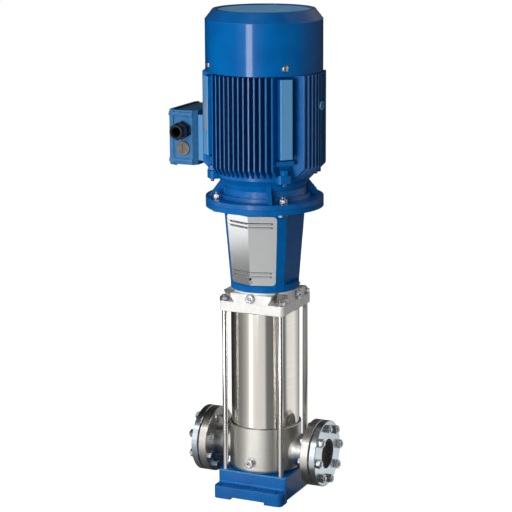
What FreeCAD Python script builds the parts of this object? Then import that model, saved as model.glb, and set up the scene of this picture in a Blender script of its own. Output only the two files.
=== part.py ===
import FreeCAD, Part
import math
import os

from FreeCAD import Vector

# Vertical multistage pump with in-line flanged nozzles, a motor lantern and a finned flange motor.
# Millimetres. The origin lies on the shaft axis at the underside of the base, +Z up the shaft,
# +X out of the discharge nozzle, and -Y towards the side with the drain plug.

# Clearances
seat_gap = 0.05          # radial gap of a fixed fit, a spigot in its bore
run_gap = 0.05           # radial gap of a running fit
wear_gap = 0.4           # radial gap of a turning neck in its wear ring
face_gap = 0.2           # axial gap between a turning face and a fixed one

# Base casting
base_length = 224.0      # along X
base_depth = 278.0       # along Y
plinth_height = 39.0
block_depth = 206.0
base_height = 80.0
plinth_corner = 14.0
block_corner = 9.0
block_cove = 7.0
base_edge = 3.0
block_edge = 4.0
base_wall = 12.0
base_roof = 14.0
foot_along_x = 56.0
foot_along_y = 47.0
foot_height = 8.0
foundation_spacing_x = 184.0
foundation_spacing_y = 238.0
foundation_hole = 14.0
rod_boss_r = 18.0
rod_depth_in_base = 34.0

# Pump body
body_r = 109.0
body_wall = 8.0
body_corner = 13.0
body_rim = 222.0
body_floor = 10.0
well_r = 62.0
well_wall = 5.0
well_top = 204.0
rebate_depth = 14.0
port_height = 140.0
port_bore_r = 40.0
duct_wall = 5.0
neck_r = 45.0
neck_bulge_r = 50.0
face_to_face = 365.0
lap_ring_r = 69.0
lap_ring_thick = 6.0
drain_height = 115.0
drain_boss_r = 17.0
drain_boss_proud = 3.0
plug_thread_r = 9.0
plug_flats = 24.0
plug_head = 9.0
plug_collar_r = 14.5
plug_collar = 3.0
plug_socket_flats = 10.0
plug_socket_depth = 7.0

# Pipe flanges
flange_r = 100.0
flange_thick = 25.5
flange_stand_back = 1.5
flange_hole_r = 9.0
flange_pitch_r = 80.0
flange_bolts = 8
suction_turn = 22.5
discharge_turn = 5.0
gasket_thick = 2.0
gasket_bore_r = 48.0
counterflange_thick = 20.0
pipe_socket_r = 45.1
flange_bolt_r = 8.0
flange_bolt_flats = 24.0
flange_bolt_head = 10.0
flange_nut_high = 13.0
flange_bolt_proud = 3.5

# Outer sleeve and tie rods
sleeve_r = 103.0
sleeve_wall = 2.5
seal_ring_thick = 4.0
rod_place = 91.5
rod_r = 8.0
rod_hole_r = 9.0
rod_nut_flats = 24.0
rod_nut_high = 12.0
rod_proud = 5.0

# Pump head
head_low = 578.0
head_width = 210.0
head_band = 31.0
crown_width = 206.0
crown_high = 27.0
head_corner = 12.0
head_boss_r = 99.0
head_boss_high = 6.0
head_edge = 2.5
groove_depth = 10.0
head_water_r = 94.0
head_water_high = 14.0
seal_bore_r = 46.0
seal_plate_r = 70.0
seal_plate_thick = 12.0
pocket_inner = 70.0
pocket_floor_edge = 53.0
pocket_top_edge = 73.0
head_plug_height = 624.0

# Stage stack
inlet_thick = 10.0
stack_r = 90.0
stack_wall = 2.5
stages = 4
stage_pitch = 84.0
plate_thick = 3.0
roof_thick = 5.0
lower_plate = 44.0
lower_plate_r = 79.0
vane_count = 6
vane_thick = 2.5
vane_inner_r = 46.0
impeller_r = 76.0
neck_outer_r = 42.0
neck_wall = 2.0
neck_dip = 4.0
impeller_low = 9.0
shroud_thick = 2.0
shroud_rise = 5.0
impeller_top = 27.0
blade_count = 6
blade_thick = 2.2
blade_inner_r = 33.0
blade_sweep = 50.0
hub_r = 20.0
hub_low = 4.0
hub_top = 34.0
bush_wall = 4.0
bush_length = 14.0
bush_hub_wall = 3.5
spoke_count = 4
spoke_width = 7.0
guide_skirt = 8.0
outlet_count = 6
outlet_share = 0.62
outlet_frame = 7.0
upper_bush_hub = 12.0

# Shaft seal
seal_seat_r = 24.0
seal_seat_bore_r = 15.5
seal_seat_high = 9.0
seal_head_r = 23.0
seal_head_high = 30.0
seal_spring_r = 21.0
seal_cup_r = 43.0
seal_cup_low = 600.0

# Pump shaft and coupling
pump_shaft_r = 14.0
pump_shaft_low = 180.0
pump_shaft_high = 775.0
shaft_collar_r = 17.0
shaft_collar_high = 3.0
shaft_nut_flats = 36.0
shaft_nut_high = 13.0
coupling_r = 48.0
coupling_low = 695.0
coupling_high = 865.0
coupling_split = 2.0
coupling_edge = 2.0
coupling_relief = 3.0
coupling_waist_r = 18.0
coupling_bolt_r = 5.0
coupling_bolt_head_r = 8.0
coupling_bolt_x = 35.0
coupling_bolt_inset = 25.0
coupling_bolt_sink = 14.0

# Motor lantern
lantern_foot_r = 102.5
lantern_foot_bore_r = 71.0
lantern_foot_high = 20.0
lantern_top = 905.0
lantern_flange_thick = 16.0
lantern_side_x = 102.0
lantern_side_y = 66.0
lantern_cheek_x = 82.0
lantern_cheek_y = 90.0
lantern_front_y = 120.0
lantern_scale_low = 0.84
lantern_scale_high = 1.015
lantern_wall = 9.0
lantern_opening_r = 98.0
window_low = 678.0
window_high = 858.0
window_half_low = 52.0
window_half_high = 64.0
guard_low = 664.0
guard_high = 874.0
guard_thick = 1.5
guard_rib_proud = 1.6
guard_rib_high = 4.0
guard_rib_inset = 24.0
guard_rib_step = 12.0
guard_corner = 12.0
guard_hole_r = 4.0
guard_hole_up = 20.0
foot_screw_r = 6.0
foot_screw_head_r = 9.0
foot_screw_pitch_r = 80.0
foot_screw_length = 52.0
foot_screw_head = 12.0

# Motor flange and drive-end shield
motor_flange_r = 175.0
motor_flange_thick = 14.0
motor_spigot_r = 125.0
motor_spigot = 5.0
motor_hole_inset = 25.0
motor_hole_r = 9.0
motor_bolt_r = 8.0
motor_bolt_flats = 24.0
motor_bolt_head = 10.0
motor_nut_high = 13.0
motor_bolt_proud = 8.0
shield_step_r = 134.0
shield_step = 11.0
shield_waist_r = 122.0
shield_waist_z = 948.0
shield_rim_z = 984.0
shield_flare_r = 130.0
shield_flare_z = 966.0
shield_web = 22.0
shield_bore_r = 112.0
shield_lip_r = 26.0
gusset_thick = 12.0
gusset_inset = 8.0
gusset_count = 4
gusset_first = -60.0

# Motor frame
frame_low = 990.0
frame_high = 1288.0
barrel_r = 150.0
barrel_bore_r = 138.0
frame_spigot = 6.0
fin_tip_r = 181.0
fin_pitch = 15.75
front_fins = 6           # to each side of the middle one, front and rear
side_fins = 5            # the same on the two sides
fin_root = 6.0
fin_tip = 3.6
fin_low_z = 994.0
fin_foot_r = 157.0
fin_shoulder_z = 1019.0
pad_half = 19.0
pad_proud = 2.0
pad_corner = 3.0
pad_low = 1052.0
pad_high = 1282.0
yoke_half = 27.0
yoke_low = 1032.0
yoke_high = 1046.0
yoke_inset = 9.0
lug_inset = 1.0
lug_width = 40.0
lug_corner = 8.0
lug_thick = 14.0
ear_thick = 10.0
lug_bolt_r = 6.0
lug_bolt_inset = 11.0
lug_bolt_flats = 22.0
lug_bolt_head = 16.0
lug_bolt_proud = 9.0
rim_bolt_r = 4.0
rim_bolt_deep = 20.0
rim_bolt_head_r = 6.0
rim_bolt_head = 5.0
rim_bolt_tip_gap = 2.0
eye_boss_r = 13.0
eye_boss_proud = 4.0
eye_height = 1195.0
eye_hole_r = 6.0
eye_hole_depth = 20.0

# Bearings and motor inside
bearing_bore_r = 25.0
bearing_outer_r = 55.0
bearing_width = 27.0
bearing_ring_thick = 9.0
ball_pitch_r = 40.0
ball_r = 9.5
ball_count = 8
cage_half = 1.2
cage_high = 23.0
lower_bearing_z = 944.0
motor_shaft_r = 24.0
motor_shaft_low = 795.0
rotor_seat_r = 32.0
fan_seat_r = 22.0
stator_low = 1030.0
stator_high = 1230.0
stator_bore_r = 86.0
air_gap = 0.6
winding_inner_r = 94.0
winding_outer_r = 127.0
winding_high = 28.0
winding_corner = 9.0
end_ring_r = 82.0
end_ring_high = 8.0

# Fan end
end_shield_thick = 12.0
end_hub_wall = 12.0
end_ear_high = 24.0
end_ear_width = 26.0
fan_above_frame = 44.0
fan_r = 144.0
fan_plate_r = 118.0
fan_plate = 4.0
fan_blade_high = 36.0
fan_blade_thick = 5.0
fan_blades = 8
fan_hub_r = 33.0
cowl_r = 172.5
cowl_sheet = 2.0
cowl_rise = 179.0
cowl_slope_high = 29.0
cowl_above_frame = 2.0
cowl_ring_r = 150.0
grille_r = 139.0
grille_sink = 4.0
grille_sheet = 3.0
grille_hub_r = 34.0
grille_rings = 5
grille_spokes = 6
grille_wire = 5.0
cowl_screw_r = 3.0
cowl_screw_head_r = 9.0
cowl_screw_head = 5.0
cowl_screw_length = 14.0
cowl_screw_up = 22.0

# Terminal box
box_seat_proud = 2.0
box_seat_half = 69.0
box_seat_low = 1020.0
box_seat_high = 1156.0
box_half_y = 85.0
box_low = 1007.0
box_high = 1169.0
box_waist_long = 12.0
box_deep = 61.0
box_waist_in = 14.0
box_wall = 6.0
box_corner = 8.0
lid_thick = 14.0
lid_lip = 3.0
lid_boss_r = 9.0
lid_boss_in = 5.0
lid_boss_length = 62.0
lid_screw_r = 3.0
lid_screw_head_r = 5.5
lid_screw_head = 4.0
lid_screw_length = 30.0
gland_from_mouth = 32.0
gland_height = 1111.0
blank_height = 1056.0
gland_thread_r = 20.0
gland_thread_length = 12.0
gland_flats = 48.0
gland_hex_long = 14.0
gland_collar_r = 19.0
gland_collar_long = 9.0
gland_nut_flats = 46.0
gland_nut_long = 28.0
gland_nut_nose_r = 19.0
gland_bore_r = 12.5
blank_head_r = 21.5
blank_head = 6.0
blank_slot = 3.0
blank_slot_deep = 2.0
cable_way_half = 26.0
terminal_plate_x = 12.0
terminal_plate_y = 84.0
terminal_plate_z = 70.0
stud_r = 3.5
stud_long = 16.0
stud_pitch = 26.0

# Places that follow from the sizes above
head_plate_top = head_low + head_band
head_crown_top = head_plate_top + crown_high
lantern_low = head_crown_top + head_boss_high
body_inner_r = body_r - body_wall
sleeve_low = body_rim - rebate_depth + seal_ring_thick
sleeve_high = head_low + groove_depth - seal_ring_thick
stack_low = well_top + inlet_thick
stack_high = stack_low + stages * stage_pitch
chamber_high = head_low + head_water_high
port_face = face_to_face / 2
flange_face = port_face - flange_stand_back
flange_back = flange_face - flange_thick
counter_near = port_face + gasket_thick
counter_far = counter_near + counterflange_thick
motor_face = lantern_top
motor_flange_top = motor_face + motor_flange_thick
upper_bearing_z = frame_high + 3.0
motor_pitch_r = motor_flange_r - motor_hole_inset
gusset_reach = motor_flange_r - gusset_inset
lug_r = motor_flange_r - lug_inset
lug_bolt_pitch_r = lug_r - lug_bolt_inset
yoke_r = fin_tip_r - yoke_inset
pad_r = fin_tip_r + pad_proud
eye_boss_out = fin_tip_r + eye_boss_proud
fan_low = frame_high + fan_above_frame
cowl_low = frame_high + cowl_above_frame
cowl_top = cowl_low + cowl_rise
cowl_shoulder = cowl_top - cowl_slope_high
cowl_screw_height = cowl_low + cowl_screw_up
box_seat_x = fin_tip_r + box_seat_proud
box_waist_x = box_seat_x + box_waist_long
box_mouth_x = box_waist_x + box_deep
gland_x = box_mouth_x - gland_from_mouth
rim_bolt_pitch_r = (barrel_r + barrel_bore_r) / 2
bush_outer_r = hub_r + run_gap + bush_wall
shaft_fit_r = pump_shaft_r + seat_gap
spigot_r = barrel_bore_r - seat_gap
cover_rim_r = barrel_r - 3.0

X_AXIS = Vector(1, 0, 0)
Y_AXIS = Vector(0, 1, 0)
Z_AXIS = Vector(0, 0, 1)
ORIGIN = Vector(0, 0, 0)
QUARTERS = (45.0, 135.0, 225.0, 315.0)
TINY = 1e-3


def bar(radius, start, along, length):
    """Round bar from a point, along a direction."""
    return Part.makeCylinder(radius, length, start, along)


def post(radius, low, high, x=0.0, y=0.0):
    """Round bar standing up between two heights."""
    return bar(radius, Vector(x, y, low), Z_AXIS, high - low)


def tube(outer, inner, low, high, x=0.0, y=0.0):
    """Standing tube."""
    return post(outer, low, high, x, y).cut(post(inner, low, high, x, y))


def flat(points):
    """Face inside a closed outline of points."""
    return Part.Face(Part.makePolygon(points + points[:1]))


def spun(outline):
    """Body of revolution about the shaft axis, from (radius, height) corners."""
    return flat([Vector(radius, 0, height) for radius, height in outline]).revolve(ORIGIN, Z_AXIS, 360)


def hexagon(flats, start, along, length):
    """Hexagonal prism with the given width across its flats."""
    corner_r = flats / math.sqrt(3)
    angles = [math.radians(60 * step) for step in range(6)]
    prism = flat([Vector(corner_r * math.cos(a), corner_r * math.sin(a), 0) for a in angles])
    prism = prism.extrude(Vector(0, 0, length))
    prism.Placement = FreeCAD.Placement(start, FreeCAD.Rotation(Z_AXIS, along))
    return prism


def block(low, high):
    """Box between two opposite corners."""
    return Part.makeBox(high[0] - low[0], high[1] - low[1], high[2] - low[2], Vector(*low))


def turned(shape, angle, about=ORIGIN, axis=Z_AXIS):
    """Copy of a shape, turned about an axis."""
    copy = shape.copy()
    copy.rotate(about, axis, angle)
    return copy


def moved(shape, x=0.0, y=0.0, z=0.0):
    """Copy of a shape, shifted."""
    copy = shape.copy()
    copy.translate(Vector(x, y, z))
    return copy


def around(shape, count, first=0.0):
    """Copies evenly spaced about the shaft axis."""
    return [turned(shape, first + 360.0 * step / count) for step in range(count)]


def at_quarters(shape):
    """Copies on the four diagonals."""
    return [turned(shape, angle) for angle in QUARTERS]


def joined(shapes):
    """One solid out of several that overlap or touch."""
    return shapes[0].multiFuse(shapes[1:]) if len(shapes) > 1 else shapes[0]


def cut_all(shape, tools):
    """Shape with several tools taken away."""
    return shape.cut(Part.makeCompound(tools))


def level_edges(shape, height):
    """Edges that lie flat at a height."""
    found = []
    for edge in shape.Edges:
        box = edge.BoundBox
        if abs(box.ZMin - height) < TINY and abs(box.ZMax - height) < TINY:
            found.append(edge)
    return found


def upright_edges_at(shape, x):
    """Upright edges that stand at a place on X."""
    return [edge for edge in shape.Edges if edge.BoundBox.ZLength > 1 and edge.BoundBox.XMin > x - TINY]


def rounded_block(length, depth, low, high, corner):
    """Box centred on the shaft axis, with its upright edges rounded."""
    plain = block((-length / 2, -depth / 2, low), (length / 2, depth / 2, high))
    upright = [edge for edge in plain.Edges if edge.BoundBox.ZLength > (high - low) / 2]
    return plain.makeFillet(corner, upright)


def mirrored_x(shape):
    """Copy of a shape on the other side of the shaft, across X = 0."""
    return shape.mirror(ORIGIN, X_AXIS)


def save(name, shape):
    """Writes one sub-part, as its separate solids."""
    solids = shape.Solids
    out = solids[0] if len(solids) == 1 else Part.makeCompound(solids)
    out.exportStep("parts/" + name + ".step")


# Base

def rod_places():
    """Plan places of the four tie rods."""
    return [(sx * rod_place, sy * rod_place) for sx in (-1, 1) for sy in (-1, 1)]


def foundation_places():
    """Plan places of the four foundation holes."""
    return [(sx * foundation_spacing_x / 2, sy * foundation_spacing_y / 2)
            for sx in (-1, 1) for sy in (-1, 1)]


def cove(side):
    """Concave strip where the block meets the ledge on one long side."""
    wall_y = block_depth / 2
    foot = Vector(0, wall_y, plinth_height)
    out = Vector(0, wall_y + block_cove, plinth_height)
    up = Vector(0, wall_y, plinth_height + block_cove)
    centre_y = wall_y + block_cove
    centre_z = plinth_height + block_cove
    half = block_cove * math.sqrt(0.5)
    middle = Vector(0, centre_y - half, centre_z - half)
    edges = [Part.LineSegment(foot, out).toShape(), Part.Arc(out, middle, up).toShape(),
             Part.LineSegment(up, foot).toShape()]
    length = base_length - 2 * block_corner
    strip = moved(Part.Face(Part.Wire(edges)).extrude(Vector(length, 0, 0)), x=-length / 2)
    return strip if side > 0 else strip.mirror(ORIGIN, Y_AXIS)


def pump_base():
    """Base casting: a plinth on four feet and a raised block that carries the body and tie rods."""
    plinth = rounded_block(base_length, base_depth, 0, plinth_height, plinth_corner)
    plinth = plinth.makeFillet(base_edge, level_edges(plinth, plinth_height))
    upper = rounded_block(base_length, block_depth, base_wall, base_height, block_corner)
    upper = upper.makeFillet(block_edge, level_edges(upper, base_height))
    casting = joined([plinth, upper, cove(1), cove(-1)])
    hollow = rounded_block(base_length - 2 * base_wall, block_depth - 2 * base_wall, 0,
                           base_height - base_roof, block_corner)
    half_x = base_length / 2
    half_y = base_depth / 2
    arch_x = block((-half_x + foot_along_x, -half_y, 0), (half_x - foot_along_x, half_y, foot_height))
    arch_y = block((-half_x, -half_y + foot_along_y, 0), (half_x, half_y - foot_along_y, foot_height))
    bosses = [post(rod_boss_r, foot_height, base_height, x, y) for x, y in rod_places()]
    casting = casting.cut(cut_all(hollow, bosses)).cut(joined([arch_x, arch_y]))
    rod_bottom = base_height - rod_depth_in_base
    holes = [post(rod_r + seat_gap, rod_bottom, base_height, x, y) for x, y in rod_places()]
    holes += [post(foundation_hole / 2, 0, plinth_height, x, y) for x, y in foundation_places()]
    return cut_all(casting, holes)


# Pump body

def nozzle():
    """Outside of the discharge nozzle: bulged neck and lap ring, turned about the port axis."""
    root = Vector(body_inner_r - 16, 0, port_height + neck_bulge_r)
    bend = Vector((body_inner_r + flange_back) / 2, 0, port_height + (neck_bulge_r * 2 + neck_r) / 3)
    end = Vector(flange_back - 2, 0, port_height + neck_r)
    lap_back = port_face - lap_ring_thick
    corners = [end, Vector(lap_back, 0, port_height + neck_r), Vector(lap_back, 0, port_height + lap_ring_r),
               Vector(port_face, 0, port_height + lap_ring_r), Vector(port_face, 0, port_height),
               Vector(root.x, 0, port_height), root]
    edges = [Part.Arc(root, bend, end).toShape()]
    edges += [Part.LineSegment(a, b).toShape() for a, b in zip(corners, corners[1:])]
    profile = Part.Face(Part.Wire(edges))
    return profile.revolve(Vector(0, 0, port_height), X_AXIS, 360)


def body_water():
    """Water space of the body: suction well in the middle, discharge ring around it, sleeve rebate."""
    floor = base_height + body_floor
    rebate_r = sleeve_r + seat_gap
    rebate_z = body_rim - rebate_depth
    return spun([(0, floor), (well_r - well_wall, floor), (well_r - well_wall, well_top),
                 (well_r, well_top), (well_r, floor), (body_inner_r - 6, floor), (body_inner_r, floor + 6),
                 (body_inner_r, rebate_z), (rebate_r, rebate_z), (rebate_r, body_rim), (0, body_rim)])


def pump_body():
    """Casing with its in-line nozzles; the suction duct crosses the discharge ring to the well."""
    shell = post(body_r, base_height, body_rim)
    shell = shell.makeFillet(body_corner, level_edges(shell, base_height))
    shell = shell.makeChamfer(1.0, level_edges(shell, body_rim))
    boss_face = body_r + drain_boss_proud
    boss = bar(drain_boss_r, Vector(0, -boss_face, drain_height), Y_AXIS, boss_face - body_inner_r + 2)
    outside = joined([shell, nozzle(), mirrored_x(nozzle()), boss])
    hollow = outside.cut(body_water())
    duct = bar(port_bore_r + duct_wall, Vector(-body_r + 2, 0, port_height), X_AXIS, body_r - well_r / 2)
    floor = base_height + body_floor
    well = post(well_r - well_wall, floor, well_top)
    hollow = joined([hollow, duct]).cut(well)
    suction = bar(port_bore_r, Vector(-port_face, 0, port_height), X_AXIS, port_face - well_r / 2)
    clear_of_well = well_r + duct_wall
    discharge = bar(port_bore_r, Vector(clear_of_well, 0, port_height), X_AXIS, port_face - clear_of_well)
    drain = bar(plug_thread_r, Vector(0, -boss_face, drain_height), Y_AXIS, boss_face - well_r - 10)
    return cut_all(hollow, [suction, discharge, drain])


def threaded_plug(thread_length):
    """Hexagon plug at the origin, its seat on Y = 0, its head towards -Y."""
    thread = bar(plug_thread_r - seat_gap, ORIGIN, Y_AXIS, thread_length)
    collar = bar(plug_collar_r, ORIGIN, -Y_AXIS, plug_collar)
    head = hexagon(plug_flats, Vector(0, -plug_collar, 0), -Y_AXIS, plug_head)
    top = plug_collar + plug_head
    socket = hexagon(plug_socket_flats, Vector(0, -top, 0), Y_AXIS, plug_socket_depth)
    return joined([thread, collar, head]).cut(socket)


# Pipe flanges

def flange_holes(near, far, turn):
    """Bolt holes of a flange on the discharge side, between two places on X."""
    holes = []
    for step in range(flange_bolts):
        hole = bar(flange_hole_r, Vector(near, flange_pitch_r, port_height), X_AXIS, far - near)
        angle = turn + 360.0 * step / flange_bolts
        holes.append(turned(hole, angle, Vector(0, 0, port_height), X_AXIS))
    return holes


def loose_flange(turn):
    """Loose flange behind the lap ring of the discharge nozzle."""
    disc = bar(flange_r, Vector(flange_back, 0, port_height), X_AXIS, flange_thick)
    disc = disc.makeChamfer(1.5, [e for e in disc.Edges if e.BoundBox.XLength < TINY])
    bore = bar(neck_r + seat_gap, Vector(flange_back, 0, port_height), X_AXIS, flange_thick)
    lap_back = port_face - lap_ring_thick
    seat = bar(lap_ring_r + seat_gap, Vector(lap_back, 0, port_height), X_AXIS, lap_ring_thick)
    return cut_all(disc, [bore, seat] + flange_holes(flange_back, flange_face, turn))


def counterflange(turn):
    """Flat counterflange with a plain socket for the customer's pipe."""
    disc = bar(flange_r, Vector(counter_near, 0, port_height), X_AXIS, counterflange_thick)
    disc = disc.makeChamfer(1.5, [e for e in disc.Edges if e.BoundBox.XLength < TINY])
    socket = bar(pipe_socket_r, Vector(counter_near, 0, port_height), X_AXIS, counterflange_thick)
    return cut_all(disc, [socket] + flange_holes(counter_near, counter_far, turn))


def flange_gaskets():
    """Flat gasket between each lap ring and its counterflange."""
    ring = bar(lap_ring_r, Vector(port_face, 0, port_height), X_AXIS, gasket_thick)
    ring = ring.cut(bar(gasket_bore_r, Vector(port_face, 0, port_height), X_AXIS, gasket_thick))
    return Part.makeCompound([ring, mirrored_x(ring)])


def flange_fasteners(make_one):
    """The same fastener at every hole of both flanges."""
    pieces = []
    for side, turn in ((1, discharge_turn), (-1, suction_turn)):
        for step in range(flange_bolts):
            angle = turn + 360.0 * step / flange_bolts
            piece = turned(make_one(), angle, Vector(0, 0, port_height), X_AXIS)
            pieces.append(piece if side > 0 else mirrored_x(piece))
    return Part.makeCompound(pieces)


def flange_bolt():
    """Hexagon bolt: head on the pump side, end past the nut on the pipe side."""
    seat = Vector(flange_back, flange_pitch_r, port_height)
    length = counter_far + flange_nut_high + flange_bolt_proud - flange_back
    shank = bar(flange_bolt_r, seat, X_AXIS, length)
    return joined([shank, hexagon(flange_bolt_flats, seat, -X_AXIS, flange_bolt_head)])


def flange_nut():
    """Hexagon nut on the outer face of a counterflange."""
    seat = Vector(counter_far, flange_pitch_r, port_height)
    nut = hexagon(flange_bolt_flats, seat, X_AXIS, flange_nut_high)
    return nut.cut(bar(flange_bolt_r, seat, X_AXIS, flange_nut_high))


# Sleeve and tie rods

def outer_sleeve():
    """Polished tube between the body and the head."""
    return tube(sleeve_r, sleeve_r - sleeve_wall, sleeve_low, sleeve_high)


def sleeve_seals():
    """Round-section seal rings under and over the sleeve."""
    section_r = seal_ring_thick / 2
    middle_r = sleeve_r - section_r
    low = Part.makeTorus(middle_r, section_r, Vector(0, 0, sleeve_low - section_r))
    high = Part.makeTorus(middle_r, section_r, Vector(0, 0, sleeve_high + section_r))
    return Part.makeCompound([low, high])


def tie_rods():
    """Four rods that clamp head, sleeve and body to the base."""
    low = base_height - rod_depth_in_base
    high = head_plate_top + rod_nut_high + rod_proud
    return Part.makeCompound([post(rod_r, low, high, x, y) for x, y in rod_places()])


def tie_rod_nuts():
    """Nuts in the corner pockets of the head."""
    nuts = []
    for x, y in rod_places():
        nut = hexagon(rod_nut_flats, Vector(x, y, head_plate_top), Z_AXIS, rod_nut_high)
        nuts.append(nut.cut(post(rod_r, head_plate_top, head_plate_top + rod_nut_high, x, y)))
    return Part.makeCompound(nuts)


# Pump head

def pocket():
    """Corner pocket for a tie-rod nut, wider at its floor than at its mouth."""
    reach = head_width / 2 + 1
    floor = [(pocket_inner, pocket_inner), (reach, pocket_floor_edge), (reach, reach),
             (pocket_floor_edge, reach)]
    mouth = [(pocket_inner, pocket_inner), (reach, pocket_top_edge), (reach, reach),
             (pocket_top_edge, reach)]
    wires = []
    for outline, height in ((floor, head_plate_top), (mouth, head_crown_top)):
        corners = [Vector(x, y, height) for x, y in outline]
        wires.append(Part.makePolygon(corners + corners[:1]))
    return Part.makeLoft(wires, True, True)


def plugs():
    """Drain plug low on the body's front, fill plug on the head's front, vent plug on its side."""
    drain = moved(threaded_plug(body_wall), y=-body_r - drain_boss_proud, z=drain_height)
    seat = crown_width / 2
    fill = moved(threaded_plug(seat - head_water_r + 6), y=-seat, z=head_plug_height)
    return Part.makeCompound([drain, fill, turned(fill, 90)])


def pump_head():
    """Square head casting: sleeve groove below, corner pockets, bore for the seal housing."""
    band = rounded_block(head_width, head_width, head_low, head_plate_top, head_corner)
    band = band.makeFillet(head_edge, level_edges(band, head_low))
    crown = rounded_block(crown_width, crown_width, head_plate_top, head_crown_top, head_corner)
    crown = crown.makeFillet(head_edge, level_edges(crown, head_crown_top))
    crown = cut_all(crown, [turned(pocket(), 90.0 * step) for step in range(4)])
    boss = post(head_boss_r, head_plate_top, lantern_low)
    casting = joined([band, crown, boss])
    groove = tube(sleeve_r + seat_gap, sleeve_r - seal_ring_thick - seat_gap, head_low,
                  head_low + groove_depth)
    water = post(head_water_r, head_low, head_low + head_water_high)
    bore = post(seal_bore_r, head_low, lantern_low)
    plate_seat = post(seal_plate_r + seat_gap, lantern_low - seal_plate_thick, lantern_low)
    rods = [post(rod_hole_r, head_low, head_plate_top, x, y) for x, y in rod_places()]
    seat = crown_width / 2
    plug_hole = bar(plug_thread_r, Vector(0, -seat, head_plug_height), Y_AXIS, seat - seal_bore_r + 4)
    plug_holes = [plug_hole, turned(plug_hole, 90)]
    screws = at_quarters(post(foot_screw_r, lantern_low - foot_screw_length + lantern_foot_high,
                              lantern_low, foot_screw_pitch_r))
    return cut_all(casting, [groove, water, bore, plate_seat] + rods + plug_holes + screws)


# Stages

def arc_vane(inner_r, outer_r, sweep, thick, low, high):
    """Curved upright vane: an arc from the inner to the outer radius, swept round by an angle."""
    def place(radius, angle):
        return Vector(radius * math.cos(angle), radius * math.sin(angle), low)

    turn = math.radians(sweep)
    middle_r = (inner_r + outer_r) / 2
    start = place(inner_r, 0)
    bend = place(middle_r, turn * 0.36)
    end = place(outer_r, turn)
    circle = Part.Circle(start, bend, end)
    centre = circle.Center
    radius = circle.Radius

    def shifted(point, by):
        return centre + (point - centre) * ((radius + by) / radius)

    half = thick / 2
    outer = [shifted(point, half) for point in (start, bend, end)]
    inner = [shifted(point, -half) for point in (start, bend, end)]
    edges = [Part.Arc(*outer).toShape(), Part.LineSegment(outer[2], inner[2]).toShape(),
             Part.Arc(inner[2], inner[1], inner[0]).toShape(),
             Part.LineSegment(inner[0], outer[0]).toShape()]
    return Part.Face(Part.Wire(edges)).extrude(Vector(0, 0, high - low))


def diffuser():
    """One stage chamber at Z = 0: outer wall, lower plate, curved return vanes and a roof with an eye."""
    wall = tube(stack_r, stack_r - stack_wall, 0, stage_pitch)
    roof_low = stage_pitch - roof_thick
    roof = tube(stack_r - stack_wall / 2, neck_outer_r + wear_gap, roof_low, stage_pitch)
    spacer_hole = hub_r + 1.0
    plate_top = lower_plate + plate_thick
    plate = tube(lower_plate_r, spacer_hole, lower_plate, plate_top)
    vane = arc_vane(vane_inner_r, lower_plate_r, blade_sweep, vane_thick, plate_top - 1, roof_low + 1)
    return joined([wall, roof, plate] + around(vane, vane_count))


def impeller():
    """Closed impeller at Z = 0 of its stage: neck, two shrouds, hub and backward-curved blades."""
    neck_in = neck_outer_r - neck_wall
    rise = impeller_low + shroud_rise
    front = spun([(neck_in, -neck_dip), (neck_outer_r, -neck_dip), (neck_outer_r, impeller_low - 1),
                  (impeller_r, rise - shroud_thick), (impeller_r, rise), (neck_in, impeller_low + 1)])
    back = spun([(hub_r - 2, impeller_top - shroud_thick), (impeller_r, impeller_top - shroud_thick),
                 (impeller_r, impeller_top), (hub_r - 2, impeller_top)])
    hub = post(hub_r, hub_low, hub_top)
    channel = spun([(blade_inner_r - 3, -neck_dip), (blade_inner_r - 3, impeller_top - 1),
                    (impeller_r, impeller_top - 1), (impeller_r, rise - 1),
                    (neck_in + 1, impeller_low), (neck_in + 1, impeller_low - 4)])
    blade = arc_vane(blade_inner_r, impeller_r + 4, blade_sweep, blade_thick, impeller_low - 4,
                     impeller_top)
    blades = around(blade.common(channel), blade_count)
    wheel = joined([front, back, hub] + blades)
    return wheel.cut(post(shaft_fit_r, -neck_dip, hub_top))


def stage_floor(number):
    """Height at which a stage begins."""
    return stack_low + (number - 1) * stage_pitch


def bushed_hub(low, high):
    """Round hub with room for a bearing bush."""
    return tube(bush_outer_r + bush_hub_wall, bush_outer_r + seat_gap, low, high)


def spokes(inner, outer, low, high):
    """Radial spokes of a spider, between two radii."""
    spoke = block((inner, -spoke_width / 2, low), (outer, spoke_width / 2, high))
    return around(spoke, spoke_count, 45.0)


def inlet_guide():
    """Spider under the first stage: seats on the well, guides the water in and holds the lower bush."""
    eye = neck_outer_r + wear_gap
    skirt_r = well_r - well_wall - seat_gap
    plate = spun([(eye, well_top + inlet_thick / 2), (skirt_r - 6, well_top - guide_skirt),
                  (skirt_r, well_top - guide_skirt), (skirt_r, well_top), (stack_r, well_top),
                  (stack_r, stack_low), (eye, stack_low)])
    hub_high = stack_low - neck_dip - 2
    hub_low_z = hub_high - bush_length
    arms = spokes(bush_outer_r + bush_hub_wall - 1, skirt_r - 2, well_top - guide_skirt, well_top - 1)
    return joined([plate, bushed_hub(hub_low_z, hub_high)] + arms)


def shaft_bushes():
    """Bearing bushes of the pump shaft, under the first stage and over the last."""
    low_top = stack_low - neck_dip - 2
    lower = tube(bush_outer_r, hub_r + run_gap, low_top - bush_length, low_top)
    upper = tube(bush_outer_r, hub_r + run_gap, stack_high, stack_high + upper_bush_hub)
    return Part.makeCompound([lower, upper])


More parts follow.
